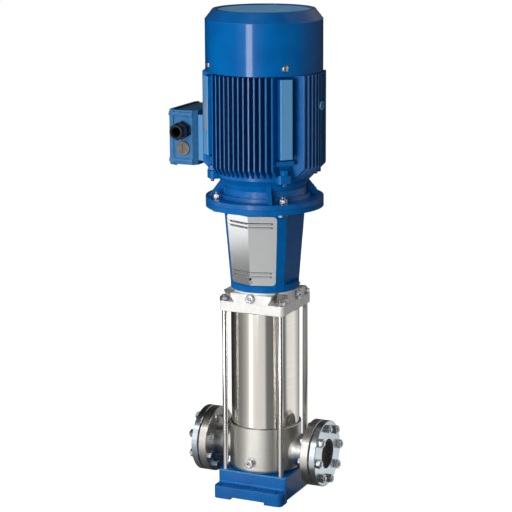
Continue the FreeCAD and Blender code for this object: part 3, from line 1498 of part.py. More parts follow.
def main():
    """Builds every sub-part and writes it to its own file."""
    os.makedirs("parts", exist_ok=True)
    save("pump_base", pump_base())
    save("pump_body", pump_body())
    save("plugs", plugs())
    save("discharge_flange", loose_flange(discharge_turn))
    save("suction_flange", mirrored_x(loose_flange(suction_turn)))
    save("discharge_counterflange", counterflange(discharge_turn))
    save("suction_counterflange", mirrored_x(counterflange(suction_turn)))
    save("flange_gaskets", flange_gaskets())
    save("flange_bolts", flange_fasteners(flange_bolt))
    save("flange_nuts", flange_fasteners(flange_nut))
    save("outer_sleeve", outer_sleeve())
    save("sleeve_seals", sleeve_seals())
    save("tie_rods", tie_rods())
    save("tie_rod_nuts", tie_rod_nuts())
    save("pump_head", pump_head())
    save("inlet_guide", inlet_guide())
    one_diffuser = diffuser()
    one_impeller = impeller()
    for number in range(1, stages + 1):
        save("diffuser_" + str(number), moved(one_diffuser, z=stage_floor(number)))
        save("impeller_" + str(number), moved(one_impeller, z=stage_floor(number)))
    save("top_chamber", top_chamber())
    save("shaft_bushes", shaft_bushes())
    save("impeller_spacers", impeller_spacers())
    save("pump_shaft", pump_shaft())
    save("shaft_nut", shaft_nut())
    save("seal_housing", seal_housing())
    save("seal_seat", seal_seat())
    save("seal_rotating_head", seal_rotating_head())
    save("coupling_shell_front", coupling_shell())
    save("coupling_shell_rear", turned(coupling_shell(), 180))
    save("coupling_bolts", coupling_bolts())
    save("motor_lantern", motor_lantern())
    save("coupling_guards", coupling_guards())
    save("lantern_screws", lantern_screws())
    save("drive_end_shield", drive_end_shield())
    save("motor_flange_bolts", motor_flange_bolts())
    save("motor_frame", motor_frame())
    save("shield_bolts", shield_bolts())
    save("bearing_outer_rings", bearing_outer_rings())
    save("bearing_inner_rings", bearing_inner_rings())
    save("bearing_balls", bearing_balls())
    save("stator_core", stator_core())
    save("stator_windings", stator_windings())
    save("rotor_core", rotor_core())
    save("motor_shaft", motor_shaft())
    save("fan_end_shield", fan_end_shield())
    save("fan", fan())
    save("fan_cowl", fan_cowl())
    save("cowl_screws", cowl_screws())
    save("terminal_box", terminal_box())
    save("terminal_lid", terminal_lid())
    save("lid_screws", lid_screws())
    save("cable_gland", cable_gland())
    save("gland_nut", gland_nut())
    save("blanking_plug", blanking_plug())
    save("terminal_block", terminal_block())


main()
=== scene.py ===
# %% [markdown]
# A vertical multistage pump stands on a blue cast base. Its water end is stainless steel, and a
# finned motor sits on top of it, on a cast lantern. The CAD model already holds every part to size.
# This lesson gives each part the finish that the real one has, and adds the small forms that a CAD
# file leaves plain: chamfered nuts, threads, washers, a wire mesh, a bare rating plate.
# The frame is the CAD model's own and counts in metres: Z goes up the shaft, X out of the discharge
# nozzle, and -Y is the side with the drain plug. New pieces are worked out in millimetres, because a
# machine is drawn in them, and MM takes them to metres.

# %% Load the CAD frame
import math

import bmesh
import bpy
import numpy as np
from mathutils import Matrix, Vector


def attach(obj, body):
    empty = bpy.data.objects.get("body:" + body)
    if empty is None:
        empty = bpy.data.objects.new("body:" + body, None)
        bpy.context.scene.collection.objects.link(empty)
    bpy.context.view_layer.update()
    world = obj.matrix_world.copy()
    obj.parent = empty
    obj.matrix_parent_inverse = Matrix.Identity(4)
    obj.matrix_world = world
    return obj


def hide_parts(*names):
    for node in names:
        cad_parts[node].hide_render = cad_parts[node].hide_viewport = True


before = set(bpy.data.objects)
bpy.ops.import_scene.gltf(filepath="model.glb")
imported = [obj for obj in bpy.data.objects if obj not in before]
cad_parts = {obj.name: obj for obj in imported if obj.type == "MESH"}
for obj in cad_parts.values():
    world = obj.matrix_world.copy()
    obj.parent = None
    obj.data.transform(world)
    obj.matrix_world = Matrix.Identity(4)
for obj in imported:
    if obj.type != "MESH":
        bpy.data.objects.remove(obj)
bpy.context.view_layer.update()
MM = 0.001
X_AXIS = (1.0, 0.0, 0.0)
Z_AXIS = (0.0, 0.0, 1.0)
QUARTERS = tuple(math.radians(angle) for angle in (45, 135, 225, 315))

# %% [markdown]
# The picture was taken from far away with a long lens, a little from the right and from above, so the
# upright lines stay almost parallel. A camera can be aimed by a constraint, but here the turns are
# given as numbers, so that the view stays exactly where it was measured. A slight roll follows the
# picture, where the motor stands a trace further left than the base.

# %% Camera
camera_azimuth = math.radians(24.64)
camera_distance = 5.419
camera_height = 1.974
camera_pitch = math.radians(12.91)
camera_yaw = math.radians(0.283)
camera_roll = math.radians(-0.3)
lens_mm = 130.9
sensor_mm = 36.0

camera_data = bpy.data.cameras.new("camera")
camera_data.lens = lens_mm
camera_data.sensor_width = sensor_mm
camera = bpy.data.objects.new("camera", camera_data)
bpy.context.scene.collection.objects.link(camera)
camera_place = Vector((math.sin(camera_azimuth) * camera_distance,
                       -math.cos(camera_azimuth) * camera_distance, camera_height))
camera.matrix_world = (Matrix.Translation(camera_place)
                       @ Matrix.Rotation(camera_azimuth + camera_yaw, 4, "Z")
                       @ Matrix.Rotation(math.pi / 2 - camera_pitch, 4, "X")
                       @ Matrix.Rotation(camera_roll, 4, "Z"))
bpy.context.scene.camera = camera
bpy.context.scene.view_settings.view_transform = "Standard"
print("Camera stands at", [round(v, 3) for v in camera_place])

# %% [markdown]
# Shader nodes could be wired by hand in the node editor, but in code the same few steps serve every
# finish. One helper adds a node, sets what it is told and fills its sockets, with a plain value or with
# a link. The others stand on it: arithmetic, a smooth step between two limits, a blend of two colours,
# noise, and an empty group for an effect that several finishes share.

# %% Helpers for shader nodes
def add_node(tree, kind, sockets=None, **settings):
    """New node in a tree; sockets maps a socket's name or number to a value or to another socket."""
    node = tree.nodes.new(kind)
    for name, value in settings.items():
        setattr(node, name, value)
    for key, value in (sockets or {}).items():
        if isinstance(value, bpy.types.NodeSocket):
            tree.links.new(value, node.inputs[key])
        else:
            node.inputs[key].default_value = value
    return node


def calc(tree, operation, first, second=0.0, third=0.0):
    """Output of a Math node."""
    sockets = {0: first, 1: second, 2: third}
    return add_node(tree, "ShaderNodeMath", sockets, operation=operation).outputs[0]


def ramp(tree, value, low, high, to_low=0.0, to_high=1.0):
    """Value taken from one range to another with a smooth step, held at both ends."""
    sockets = {"Value": value, "From Min": low, "From Max": high, "To Min": to_low, "To Max": to_high}
    return add_node(tree, "ShaderNodeMapRange", sockets, interpolation_type="SMOOTHSTEP").outputs["Result"]


def blend_colors(tree, factor, first, second):
    """Colour between two colours. A Mix node has sockets for every type of data: for colours they are
    the inputs 0 (factor), 6 and 7, and the output 2."""
    return add_node(tree, "ShaderNodeMix", {0: factor, 6: first, 7: second}, data_type="RGBA").outputs[2]


def noise(tree, vector, scale, detail=3.0, roughness=0.5):
    """Noise value at a place."""
    sockets = {"Vector": vector, "Scale": scale, "Detail": detail, "Roughness": roughness}
    return add_node(tree, "ShaderNodeTexNoise", sockets).outputs["Fac"]


def new_group(name, inputs, outputs):
    """Empty node group with float inputs and outputs; an input named Vector takes a vector."""
    group = bpy.data.node_groups.new(name, "ShaderNodeTree")
    for label, value in inputs.items():
        kind = "NodeSocketVector" if label == "Vector" else "NodeSocketFloat"
        socket = group.interface.new_socket(label, in_out="INPUT", socket_type=kind)
        if label != "Vector":
            socket.default_value = value
    for label in outputs:
        group.interface.new_socket(label, in_out="OUTPUT", socket_type="NodeSocketFloat")
    entry = group.nodes.new("NodeGroupInput")
    leave = group.nodes.new("NodeGroupOutput")
    return group, entry.outputs, leave.inputs


print("Shader helpers are ready")

# %% [markdown]
# A sand casting is never quite smooth: under its paint lie fine grains and, wider apart, soft swells.
# As real relief they would need millions of faces, so they stay in the shader. One node group makes both
# from noise, and each casting can ask for its own grain size.

# %% Effect: casting skin
swell_share = 0.06
casting_skin, given, result = new_group("casting_skin", {"Vector": None, "Grains per metre": 900.0},
                                        ("Grain", "Swell"))
fine = noise(casting_skin, given["Vector"], given["Grains per metre"], detail=2.0, roughness=0.6)
wide_scale = calc(casting_skin, "MULTIPLY", given["Grains per metre"], swell_share)
wide = noise(casting_skin, given["Vector"], wide_scale, detail=3.0)
casting_skin.links.new(ramp(casting_skin, fine, 0.3, 0.7), result["Grain"])
casting_skin.links.new(ramp(casting_skin, wide, 0.25, 0.75), result["Swell"])
print("Effect:", casting_skin.name)

# %% [markdown]
# A turned or polished part carries fine lines that run round its axis. On the flat face of a disc they
# depend on the radius, and along a barrel on the height, so noise of both gives the right lines
# everywhere. A slow change with the angle breaks them up, as a real cut does.

# %% Effect: turning lines
turning_lines, given, result = new_group("turning_lines", {"Vector": None, "Lines per metre": 1500.0},
                                         ("Lines", "Drift"))
parts = add_node(turning_lines, "ShaderNodeSeparateXYZ", {0: given["Vector"]}).outputs
square = calc(turning_lines, "MULTIPLY_ADD", parts["X"], parts["X"],
              calc(turning_lines, "MULTIPLY", parts["Y"], parts["Y"]))
radius = calc(turning_lines, "SQRT", square)
angle = calc(turning_lines, "ARCTAN2", parts["Y"], parts["X"])
dense_radius = calc(turning_lines, "MULTIPLY", radius, given["Lines per metre"])
dense_height = calc(turning_lines, "MULTIPLY", parts["Z"], given["Lines per metre"])
place = add_node(turning_lines, "ShaderNodeCombineXYZ",
                 {"X": dense_radius, "Y": dense_height, "Z": calc(turning_lines, "SINE", angle)}).outputs[0]
turning_lines.links.new(ramp(turning_lines, noise(turning_lines, place, 1.0, 2.0), 0.3, 0.7), result["Lines"])
turning_lines.links.new(noise(turning_lines, given["Vector"], 14.0, 2.0), result["Drift"])
print("Effect:", turning_lines.name)

# %% [markdown]
# Drawn or brushed sheet has straight lines along one direction. Noise stretched along that direction
# gives them: the coordinates across it are multiplied, the one along it hardly at all.

# %% Effect: straight grain
straight_grain, given, result = new_group(
    "straight_grain", {"Vector": None, "Across X": 900.0, "Across Y": 900.0, "Along Z": 12.0},
    ("Lines", "Drift"))
parts = add_node(straight_grain, "ShaderNodeSeparateXYZ", {0: given["Vector"]}).outputs
stretched = [calc(straight_grain, "MULTIPLY", parts[axis], given[label])
             for axis, label in (("X", "Across X"), ("Y", "Across Y"), ("Z", "Along Z"))]
place = add_node(straight_grain, "ShaderNodeCombineXYZ", dict(enumerate(stretched))).outputs[0]
straight_grain.links.new(ramp(straight_grain, noise(straight_grain, place, 1.0, 3.0), 0.3, 0.7),
                         result["Lines"])
straight_grain.links.new(noise(straight_grain, given["Vector"], 18.0, 2.0), result["Drift"])
print("Effect:", straight_grain.name)

# %% [markdown]
# Paint is paler along the edges of a block, partly from wear and partly as a painted highlight for the light
# that rounded edges catch. Colours painted on the points of a mesh would need many more points there, so the
# mask below finds those edges from the place alone: a point is near an edge where two of its distances, to
# the sides, to the ends and to the top, are small together.

# %% Effect: block edges
block_edges, given, result = new_group(
    "block_edges", {"Vector": None, "Half X": 0.1, "Half Y": 0.1, "Top": 0.1, "Width": 0.004}, ("Edge",))
parts = add_node(block_edges, "ShaderNodeSeparateXYZ", {0: given["Vector"]}).outputs
near = []
for axis, label in (("X", "Half X"), ("Y", "Half Y"), ("Z", "Top")):
    reach = calc(block_edges, "ABSOLUTE", parts[axis])
    away = calc(block_edges, "ABSOLUTE", calc(block_edges, "SUBTRACT", reach, given[label]))
    near.append(ramp(block_edges, calc(block_edges, "DIVIDE", away, given["Width"]), 0.0, 1.0, 1.0, 0.0))
pairs = [calc(block_edges, "MULTIPLY", near[a], near[b]) for a, b in ((0, 1), (1, 2), (0, 2))]
edge = calc(block_edges, "MAXIMUM", calc(block_edges, "MAXIMUM", pairs[0], pairs[1]), pairs[2])
block_edges.links.new(edge, result["Edge"])
print("Effect:", block_edges.name)

# %% [markdown]
# Laminated steel and wound copper both show even layers. A sine of the height gives them, and a little
# noise keeps the layers from looking drawn with a ruler.

# %% Effect: even layers
wobble_scale = 90.0
wobble_phase = 1.6
even_layers, given, result = new_group("even_layers", {"Vector": None, "Layers per metre": 800.0}, ("Layer",))
parts = add_node(even_layers, "ShaderNodeSeparateXYZ", {0: given["Vector"]}).outputs
wobble = calc(even_layers, "MULTIPLY", noise(even_layers, given["Vector"], wobble_scale), wobble_phase)
phase = calc(even_layers, "MULTIPLY_ADD", parts["Z"],
             calc(even_layers, "MULTIPLY", given["Layers per metre"], 2 * math.pi), wobble)
wave = calc(even_layers, "MULTIPLY_ADD", calc(even_layers, "SINE", phase), 0.5, 0.5)
even_layers.links.new(wave, result["Layer"])
print("Effect:", even_layers.name)

# %% [markdown]
# Every finish ends in one Principled shader. The helper below makes the material, hands out the
# coordinates of the object, and wires colour, roughness and bump, so that each finish says only what
# is special about it. What is the same all over the surface is set on the shader itself.

# %% Helper for a finish
def linear(red, green, blue):
    """Screen colour from 0 to 1 as the linear colour that a shader takes."""
    return tuple(((c + 0.055) / 1.055) ** 2.4 if c > 0.04045 else c / 12.92
                 for c in (red, green, blue)) + (1.0,)


def effect(tree, group, sockets):
    """Outputs of one of the shared effects, placed in a material with its own values."""
    return add_node(tree, "ShaderNodeGroup", sockets, node_tree=group).outputs


def start_finish(name, centre=(0.0, 0.0, 0.0), turn=(0.0, 0.0, 0.0)):
    """New material; returns it, its tree and coordinates about a centre, turned to a piece's axis."""
    material = bpy.data.materials.new(name)
    material.use_nodes = True
    tree = material.node_tree
    tree.nodes.clear()
    place = add_node(tree, "ShaderNodeTexCoord").outputs["Object"]
    shifted = add_node(tree, "ShaderNodeVectorMath", {0: place, 1: centre}, operation="SUBTRACT").outputs[0]
    turned = add_node(tree, "ShaderNodeMapping", {"Vector": shifted, "Rotation": turn}).outputs[0]
    return material, tree, turned


def end_finish(tree, color, roughness, height, bump_mm, metallic=0.0, **plain):
    """Principled shader with a bump; plain gives settings that are the same all over."""
    bump = add_node(tree, "ShaderNodeBump",
                    {"Height": height, "Distance": bump_mm * MM, "Strength": 1.0}).outputs["Normal"]
    sockets = {"Base Color": color, "Roughness": roughness, "Metallic": metallic, "Normal": bump}
    for key, value in plain.items():
        sockets[key.replace("_", " ").title().replace("Ior", "IOR")] = value
    shader = add_node(tree, "ShaderNodeBsdfPrincipled", sockets)
    add_node(tree, "ShaderNodeOutputMaterial", {"Surface": shader.outputs[0]})


def dress(material, *names):
    """Gives a finish to CAD nodes, through their own material slots."""
    for name in names:
        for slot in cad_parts[name].material_slots:
            slot.material = material
    print(material.name, "on", ", ".join(names))


print("Finish helpers are ready")

# %% [markdown]
# The castings and the sheet cowl share one saturated blue. It is a gloss paint, so a clear coat sits
# over the colour. On the rough base the grain is coarse and deep, on the motor finer, and on the
# pressed cowl it is only a faint orange peel. A picture wrapped round each part could show this too, but
# noise in the part's own coordinates needs no unwrapping and has no seam.

# %% Finish: blue paint
blue_bright = linear(0.0, 0.365, 0.635)
blue_deep = linear(0.0, 0.325, 0.585)
# Paler blue for block edges: wear and painted highlight together
edge_wear_sheen_blue = linear(0.24, 0.56, 0.78)
# Fin colours: painted shade on the flanks between the fins, painted highlight on the fin tips, painted sheen
# on the pads
groove_shade_navy = linear(0.13, 0.26, 0.50)
tip_highlight_blue = linear(0.19, 0.41, 0.62)
pad_sheen_blue = linear(0.34, 0.55, 0.72)
# Paler blue of the terminal box: a painted sheen for the light its face catches from the left
box_sheen_bright = linear(0.22, 0.44, 0.63)
box_sheen_deep = linear(0.16, 0.39, 0.58)
# How far under the tips and pads the painted highlight and painted sheen reach, in metres
tip_highlight_reach = (0.0020, 0.0005)
pad_sheen_reach = (0.0012, 0.0004)
foot_blend = 0.006
flank_edge = (0.385, 0.405)
group_edge = (0.43, 0.45)
swell_height = 0.6


def painted(name, grains, bump_mm, rough_low, rough_high, box=None, fins=None, coat=0.2, mirror=0.25,
            bright=blue_bright, deep=blue_deep):
    """Gloss paint over a casting: colour and gloss follow the skin, and the edges of a given block are
    painted lighter, partly for wear and partly as a painted highlight. Fins, given as the radius of their
    tips, the radius of the pads and the height where they start, have flanks painted dark, a painted shade
    for the shadow between the fins, and tips painted pale, a painted highlight for the light that their edges
    catch; the pads are painted paler still, a painted sheen. The four corners between the groups of fins,
    where |x y| / r^2 is near its greatest value of one half, keep the plain blue, and so do the flanks that
    face them, which get no painted shade."""
    material, tree, place = start_finish(name)
    skin = effect(tree, casting_skin, {"Vector": place, "Grains per metre": grains})
    color = blend_colors(tree, skin["Swell"], deep, bright)
    if box:
        # Edges painted paler: partly wear, partly a painted highlight
        edges = effect(tree, block_edges, {"Vector": place, **box})
        color = blend_colors(tree, edges["Edge"], color, edge_wear_sheen_blue)
    # Painted shade on the fin flanks, painted highlight on the fin tips and painted sheen on the pads
    if fins:
        tip_r, pad_r, foot_z = fins
        parts = add_node(tree, "ShaderNodeSeparateXYZ", {0: place}).outputs
        across = calc(tree, "MULTIPLY", parts["Y"], parts["Y"])
        radius = calc(tree, "SQRT", calc(tree, "MULTIPLY_ADD", parts["X"], parts["X"], across))
        product = calc(tree, "ABSOLUTE", calc(tree, "MULTIPLY", parts["X"], parts["Y"]))
        corner = calc(tree, "DIVIDE", product, calc(tree, "MULTIPLY", radius, radius))
        flank = blend_colors(tree, ramp(tree, corner, *flank_edge), groove_shade_navy, color)
        on_tip = ramp(tree, radius, tip_r - tip_highlight_reach[0], tip_r - tip_highlight_reach[1])
        on_fins = blend_colors(tree, on_tip, flank, tip_highlight_blue)
        above_foot = ramp(tree, parts["Z"], foot_z - foot_blend, foot_z + foot_blend)
        finned = calc(tree, "MULTIPLY", above_foot, ramp(tree, corner, *group_edge, 1.0, 0.0))
        color = blend_colors(tree, finned, color, on_fins)
        on_pad = ramp(tree, radius, pad_r - pad_sheen_reach[0], pad_r - pad_sheen_reach[1])
        color = blend_colors(tree, on_pad, color, pad_sheen_blue)
    rough = ramp(tree, skin["Grain"], 0.0, 1.0, rough_low, rough_high)
    height = calc(tree, "MULTIPLY_ADD", skin["Swell"], swell_height, skin["Grain"])
    end_finish(tree, color, rough, height, bump_mm, coat_weight=coat, coat_roughness=0.10,
               specular_ior_level=mirror)
    return material


print("The blue paint is ready, its bright shade is", [round(c, 3) for c in blue_bright[:3]])

# %% [markdown]
# Each casting now gets its own paint: the number of grains per metre, the depth of the bump in mm, and the
# least and the greatest roughness. The base is a block whose edges are painted paler, for wear and as a
# painted highlight; the lantern looks dry, so it has no coat; and the terminal box is painted a little paler
# than the castings round it, a painted sheen for the light that its face catches from the left.

# %% Paints of the castings and the cowl
base_block = {"Half X": 0.112, "Half Y": 0.103, "Top": 0.080, "Width": 0.005}
base_paint = painted("blue_cast_base", 230.0, 0.45, 0.18, 0.30, box=base_block, coat=0.5, mirror=0.2)
lantern_paint = painted("blue_lantern", 620.0, 0.05, 0.34, 0.50, coat=0.0, mirror=0.08)
motor_paint = painted("blue_cast", 700.0, 0.04, 0.28, 0.44)
frame_paint = painted("blue_fins", 700.0, 0.04, 0.28, 0.44, fins=(0.181, 0.183, 1.018))
# The box's paler paint is a painted sheen
box_paint = painted("blue_box", 700.0, 0.03, 0.30, 0.44, bright=box_sheen_bright, deep=box_sheen_deep)
sheet_paint = painted("blue_sheet", 260.0, 0.008, 0.14, 0.20, coat=0.6, mirror=0.2)
dress(base_paint, "pump_base")
dress(lantern_paint, "motor_lantern")
dress(motor_paint, "drive_end_shield", "fan_end_shield", "shield_bolts")
dress(box_paint, "terminal_box", "terminal_lid")
dress(frame_paint, "motor_frame")
dress(sheet_paint, "fan_cowl")

# %% [markdown]
# The water end is stainless steel in several finishes. The outer sleeve is polished, the body and
# flanges are turned and satin, and so are the shafts, the stages and the bearing rings inside. All are
# metals with lines round an axis, so one function makes them.

# %% Finish: turned steel
line_share = 0.6
drift_share = 0.4
wall_blend = 0.0005
neck_blend = (0.004, 0.010)


def turned_steel(name, bright, dull, rough_low, rough_high, lines, bump_mm, centre=(0.0, 0.0, 0.0),
                 turn=(0.0, 0.0, 0.0), necks=None):
    """Metal with lines round an axis. Necks are painted darker outside, a painted shade for the dark
    surroundings that they mirror: they are given as a distance along X, the pipe's height, its bore and a
    colour."""
    material, tree, place = start_finish(name, centre, turn)
    cut = effect(tree, turning_lines, {"Vector": place, "Lines per metre": lines})
    mask = calc(tree, "MULTIPLY_ADD", cut["Lines"], line_share,
                calc(tree, "MULTIPLY", cut["Drift"], drift_share))
    color = blend_colors(tree, mask, dull, bright)
    # Painted shade on the necks
    if necks:
        from_x, pipe_z, bore_r, neck_color = necks
        parts = add_node(tree, "ShaderNodeSeparateXYZ", {0: place}).outputs
        up = calc(tree, "SUBTRACT", parts["Z"], pipe_z)
        from_pipe = calc(tree, "SQRT", calc(tree, "MULTIPLY_ADD", up, up,
                                            calc(tree, "MULTIPLY", parts["Y"], parts["Y"])))
        outside = ramp(tree, from_pipe, bore_r, bore_r + wall_blend)
        sideways = calc(tree, "ABSOLUTE", parts["X"])
        far_out = ramp(tree, sideways, from_x - neck_blend[0], from_x + neck_blend[1])
        color = blend_colors(tree, calc(tree, "MULTIPLY", outside, far_out), color, neck_color)
    rough = ramp(tree, mask, 0.2, 0.8, rough_high, rough_low)
    end_finish(tree, color, rough, cut["Lines"], bump_mm, metallic=1.0)
    return material


print("Turned steel mixes", line_share, "of lines with", drift_share, "of drift")

# %% [markdown]
# A steel is now a pale and a dull shade, the range of its roughness, its lines per metre and their depth
# in mm. Lines that run round a pipe need their coordinates turned to the pipe's axis, so the flanges get
# a centre and a turn. The sleeve is almost a mirror: its lines are less than a thousandth of a mm deep.

# %% Steels of the water end and the shafts
pipe_z = 0.140
port_centre = (0.0, 0.0, pipe_z)
along_pipe = (0.0, math.pi / 2, 0.0)
neck_from_x = 0.112
neck_bore_r = 0.0425
# Darker grey of the necks: painted shade
shaded_neck_grey = linear(0.68, 0.69, 0.70)
sleeve_steel = turned_steel("sleeve_steel", linear(0.97, 0.95, 0.92), linear(0.92, 0.90, 0.87),
                            0.11, 0.15, 700.0, 0.0008)
body_steel = turned_steel("body_steel", linear(0.95, 0.94, 0.92), linear(0.87, 0.86, 0.83),
                          0.32, 0.44, 900.0, 0.006, necks=(neck_from_x, pipe_z, neck_bore_r, shaded_neck_grey))
flange_steel = turned_steel("flange_steel", linear(0.93, 0.91, 0.88), linear(0.80, 0.78, 0.75),
                            0.24, 0.36, 1500.0, 0.008, port_centre, along_pipe)
counterflange_steel = turned_steel("counterflange_steel", linear(0.90, 0.94, 0.96),
                                   linear(0.76, 0.82, 0.85), 0.18, 0.28, 1800.0, 0.006, port_centre,
                                   along_pipe)
rod_steel = turned_steel("rod_steel", linear(0.88, 0.88, 0.87), linear(0.82, 0.82, 0.81), 0.15, 0.18,
                         1200.0, 0.0004)
shaft_steel = turned_steel("shaft_steel", linear(0.78, 0.78, 0.78), linear(0.62, 0.62, 0.63), 0.2, 0.34,
                           2500.0, 0.004)
stage_steel = turned_steel("stage_steel", linear(0.78, 0.77, 0.75), linear(0.64, 0.63, 0.61), 0.3, 0.45,
                           600.0, 0.006)
bearing_steel = turned_steel("bearing_steel", linear(0.88, 0.88, 0.88), linear(0.78, 0.78, 0.78), 0.1,
                             0.18, 2500.0, 0.001)
iron_grey = turned_steel("iron_grey", linear(0.42, 0.42, 0.43), linear(0.28, 0.28, 0.29), 0.4, 0.6,
                         900.0, 0.02)
dress(sleeve_steel, "outer_sleeve")
dress(body_steel, "pump_body")
dress(flange_steel, "discharge_flange", "suction_flange")
dress(counterflange_steel, "discharge_counterflange", "suction_counterflange")
dress(rod_steel, "tie_rods")
dress(shaft_steel, "pump_shaft", "motor_shaft", "impeller_spacers", "seal_rotating_head")
dress(stage_steel, "inlet_guide", "top_chamber", *["diffuser_%d" % n for n in range(1, 5)],
      *["impeller_%d" % n for n in range(1, 5)])
dress(bearing_steel, "bearing_outer_rings", "bearing_inner_rings", "bearing_balls")
dress(iron_grey, "coupling_shell_front", "coupling_shell_rear")

# %% [markdown]
# The pump head is a stainless casting that was blasted, so it looks almost white, dry and finely
# grained. A full metal would mirror the dark of the room, so this finish is only three tenths metal. It
# is rough and has the skin of a casting.

# %% Finish: blasted casting
# Grey of the corner pockets: painted shade
pocket_shade_grey = linear(0.50, 0.49, 0.47)
pocket_blend = 0.003
floor_blend = 0.001
skin_metal = 0.3


def blasted(name, bright, dull, grains, bump_mm, rough_low, rough_high, pockets=None):
    """Pale metal casting with a fine dry grain. Pockets, given as the distance from both middle planes and
    the height where they begin, are painted dark: a painted shade for the shadow in the corner pockets."""
    material, tree, place = start_finish(name)
    skin = effect(tree, casting_skin, {"Vector": place, "Grains per metre": grains})
    mask = calc(tree, "MULTIPLY_ADD", skin["Grain"], 0.5, calc(tree, "MULTIPLY", skin["Swell"], 0.5))
    color = blend_colors(tree, mask, dull, bright)
    # Painted shade in the pockets
    if pockets:
        from_middle, from_z = pockets
        parts = add_node(tree, "ShaderNodeSeparateXYZ", {0: place}).outputs
        reach = calc(tree, "MINIMUM", calc(tree, "ABSOLUTE", parts["X"]), calc(tree, "ABSOLUTE", parts["Y"]))
        inside = calc(tree, "MULTIPLY", ramp(tree, reach, from_middle, from_middle + pocket_blend),
                      ramp(tree, parts["Z"], from_z, from_z + floor_blend))
        color = blend_colors(tree, inside, color, pocket_shade_grey)
    rough = ramp(tree, skin["Grain"], 0.0, 1.0, rough_low, rough_high)
    end_finish(tree, color, rough, skin["Grain"], bump_mm, metallic=skin_metal)
    return material


head_casting = blasted("head_casting", linear(0.93, 0.925, 0.915), linear(0.83, 0.825, 0.81), 1100.0, 0.05,
                       0.42, 0.60, pockets=(0.064, 0.6095))
dress(head_casting, "pump_head", "seal_housing")

# %% [markdown]
# The guard is stainless sheet with a rolled grain that runs up it. Small bolts are zinc plated: a
# bright, slightly bluish metal with a soft cloudy film, which fine noise gives.

# %% Finish: sheet and zinc
sheet_lines = {"Across X": 900.0, "Across Y": 900.0, "Along Z": 14.0}
sheet_bump_mm = 0.0002
film_scale = 160.0
film_grain = 2400.0
film_bump_mm = 0.006


def grained_sheet(name, bright, dull, rough_low, rough_high):
    """Sheet metal with a straight grain up the piece."""
    material, tree, place = start_finish(name)
    grain = effect(tree, straight_grain, {"Vector": place, **sheet_lines})
    mask = calc(tree, "MULTIPLY_ADD", grain["Lines"], 0.5, calc(tree, "MULTIPLY", grain["Drift"], 0.5))
    color = blend_colors(tree, mask, dull, bright)
    rough = ramp(tree, mask, 0.2, 0.8, rough_high, rough_low)
    end_finish(tree, color, rough, grain["Lines"], sheet_bump_mm, metallic=1.0)
    return material


def plated(name, bright, dull, rough_low, rough_high):
    """Plated or bare small steel with a cloudy film."""
    material, tree, place = start_finish(name)
    film = noise(tree, place, film_scale)
    clouds = ramp(tree, film, 0.35, 0.65)
    color = blend_colors(tree, clouds, dull, bright)
    rough = ramp(tree, film, 0.3, 0.7, rough_low, rough_high)
    end_finish(tree, color, rough, noise(tree, place, film_grain, 1.0), film_bump_mm, metallic=1.0)
    return material


guard_steel = grained_sheet("guard_steel", linear(0.84, 0.85, 0.85), linear(0.82, 0.83, 0.83), 0.20, 0.22)
zinc_bolt = plated("zinc_bolt", linear(0.84, 0.86, 0.88), linear(0.68, 0.72, 0.75), 0.20, 0.36)
steel_nut = plated("steel_nut", linear(0.90, 0.90, 0.90), linear(0.76, 0.77, 0.78), 0.16, 0.30)
dress(guard_steel, "coupling_guards")
dress(zinc_bolt, "flange_bolts", "coupling_bolts", "lantern_screws", "motor_flange_bolts")
dress(steel_nut, "flange_nuts", "tie_rod_nuts", "cowl_screws", "lid_screws", "shaft_nut", "plugs")

# %% [markdown]
# Rubber, fibre and moulded plastics aren't metals. Their colour hardly changes, but the light shows a
# fine grain and a soft, uneven gloss. The laminated core and the windings add even layers.

# %% Finish: rubber, plastic, core and windings
def moulded(name, bright, dull, grains, bump_mm, rough_low, rough_high):
    """Plastic, rubber or fibre with a fine grain."""
    material, tree, place = start_finish(name)
    skin = effect(tree, casting_skin, {"Vector": place, "Grains per metre": grains})
    color = blend_colors(tree, skin["Swell"], dull, bright)
    rough = ramp(tree, skin["Grain"], 0.0, 1.0, rough_low, rough_high)
    end_finish(tree, color, rough, skin["Grain"], bump_mm)
    return material


def layered(name, bright, dull, layers, bump_mm, metallic, rough_low, rough_high):
    """Stacked sheets or turns of wire."""
    material, tree, place = start_finish(name)
    stack = effect(tree, even_layers, {"Vector": place, "Layers per metre": layers})
    color = blend_colors(tree, stack["Layer"], dull, bright)
    rough = ramp(tree, stack["Layer"], 0.0, 1.0, rough_high, rough_low)
    end_finish(tree, color, rough, stack["Layer"], bump_mm, metallic=metallic)
    return material


print("Moulded and layered finishes are ready")

# %% [markdown]
# Black rubber and plastic are never truly black: a little light always comes back from them, so their
# shades stay above zero. The windings have thick turns and the core thin sheets, which the layers per
# metre and the depth of the bump tell apart.

# %% Rubbers, plastics, core and windings
seal_rubber = moulded("seal_rubber", linear(0.13, 0.13, 0.13), linear(0.07, 0.07, 0.07), 1400.0, 0.01,
                      0.5, 0.7)
gasket_fibre = moulded("gasket_fibre", linear(0.30, 0.32, 0.30), linear(0.18, 0.20, 0.19), 2600.0, 0.02,
                       0.6, 0.8)
seal_carbide = moulded("seal_carbide", linear(0.28, 0.28, 0.29), linear(0.18, 0.18, 0.19), 3000.0, 0.002,
                       0.2, 0.3)
gland_plastic = moulded("gland_plastic", linear(0.12, 0.12, 0.13), linear(0.06, 0.06, 0.07), 1800.0, 0.008,
                        0.22, 0.34)
plug_plastic = moulded("plug_plastic", linear(0.42, 0.40, 0.38), linear(0.33, 0.31, 0.29), 1600.0, 0.01,
                       0.36, 0.50)
fan_plastic = moulded("fan_plastic", linear(0.20, 0.20, 0.21), linear(0.12, 0.12, 0.13), 1500.0, 0.01,
                      0.4, 0.55)
block_plastic = moulded("block_plastic", linear(0.42, 0.30, 0.20), linear(0.30, 0.21, 0.14), 1500.0, 0.01,
                        0.4, 0.55)
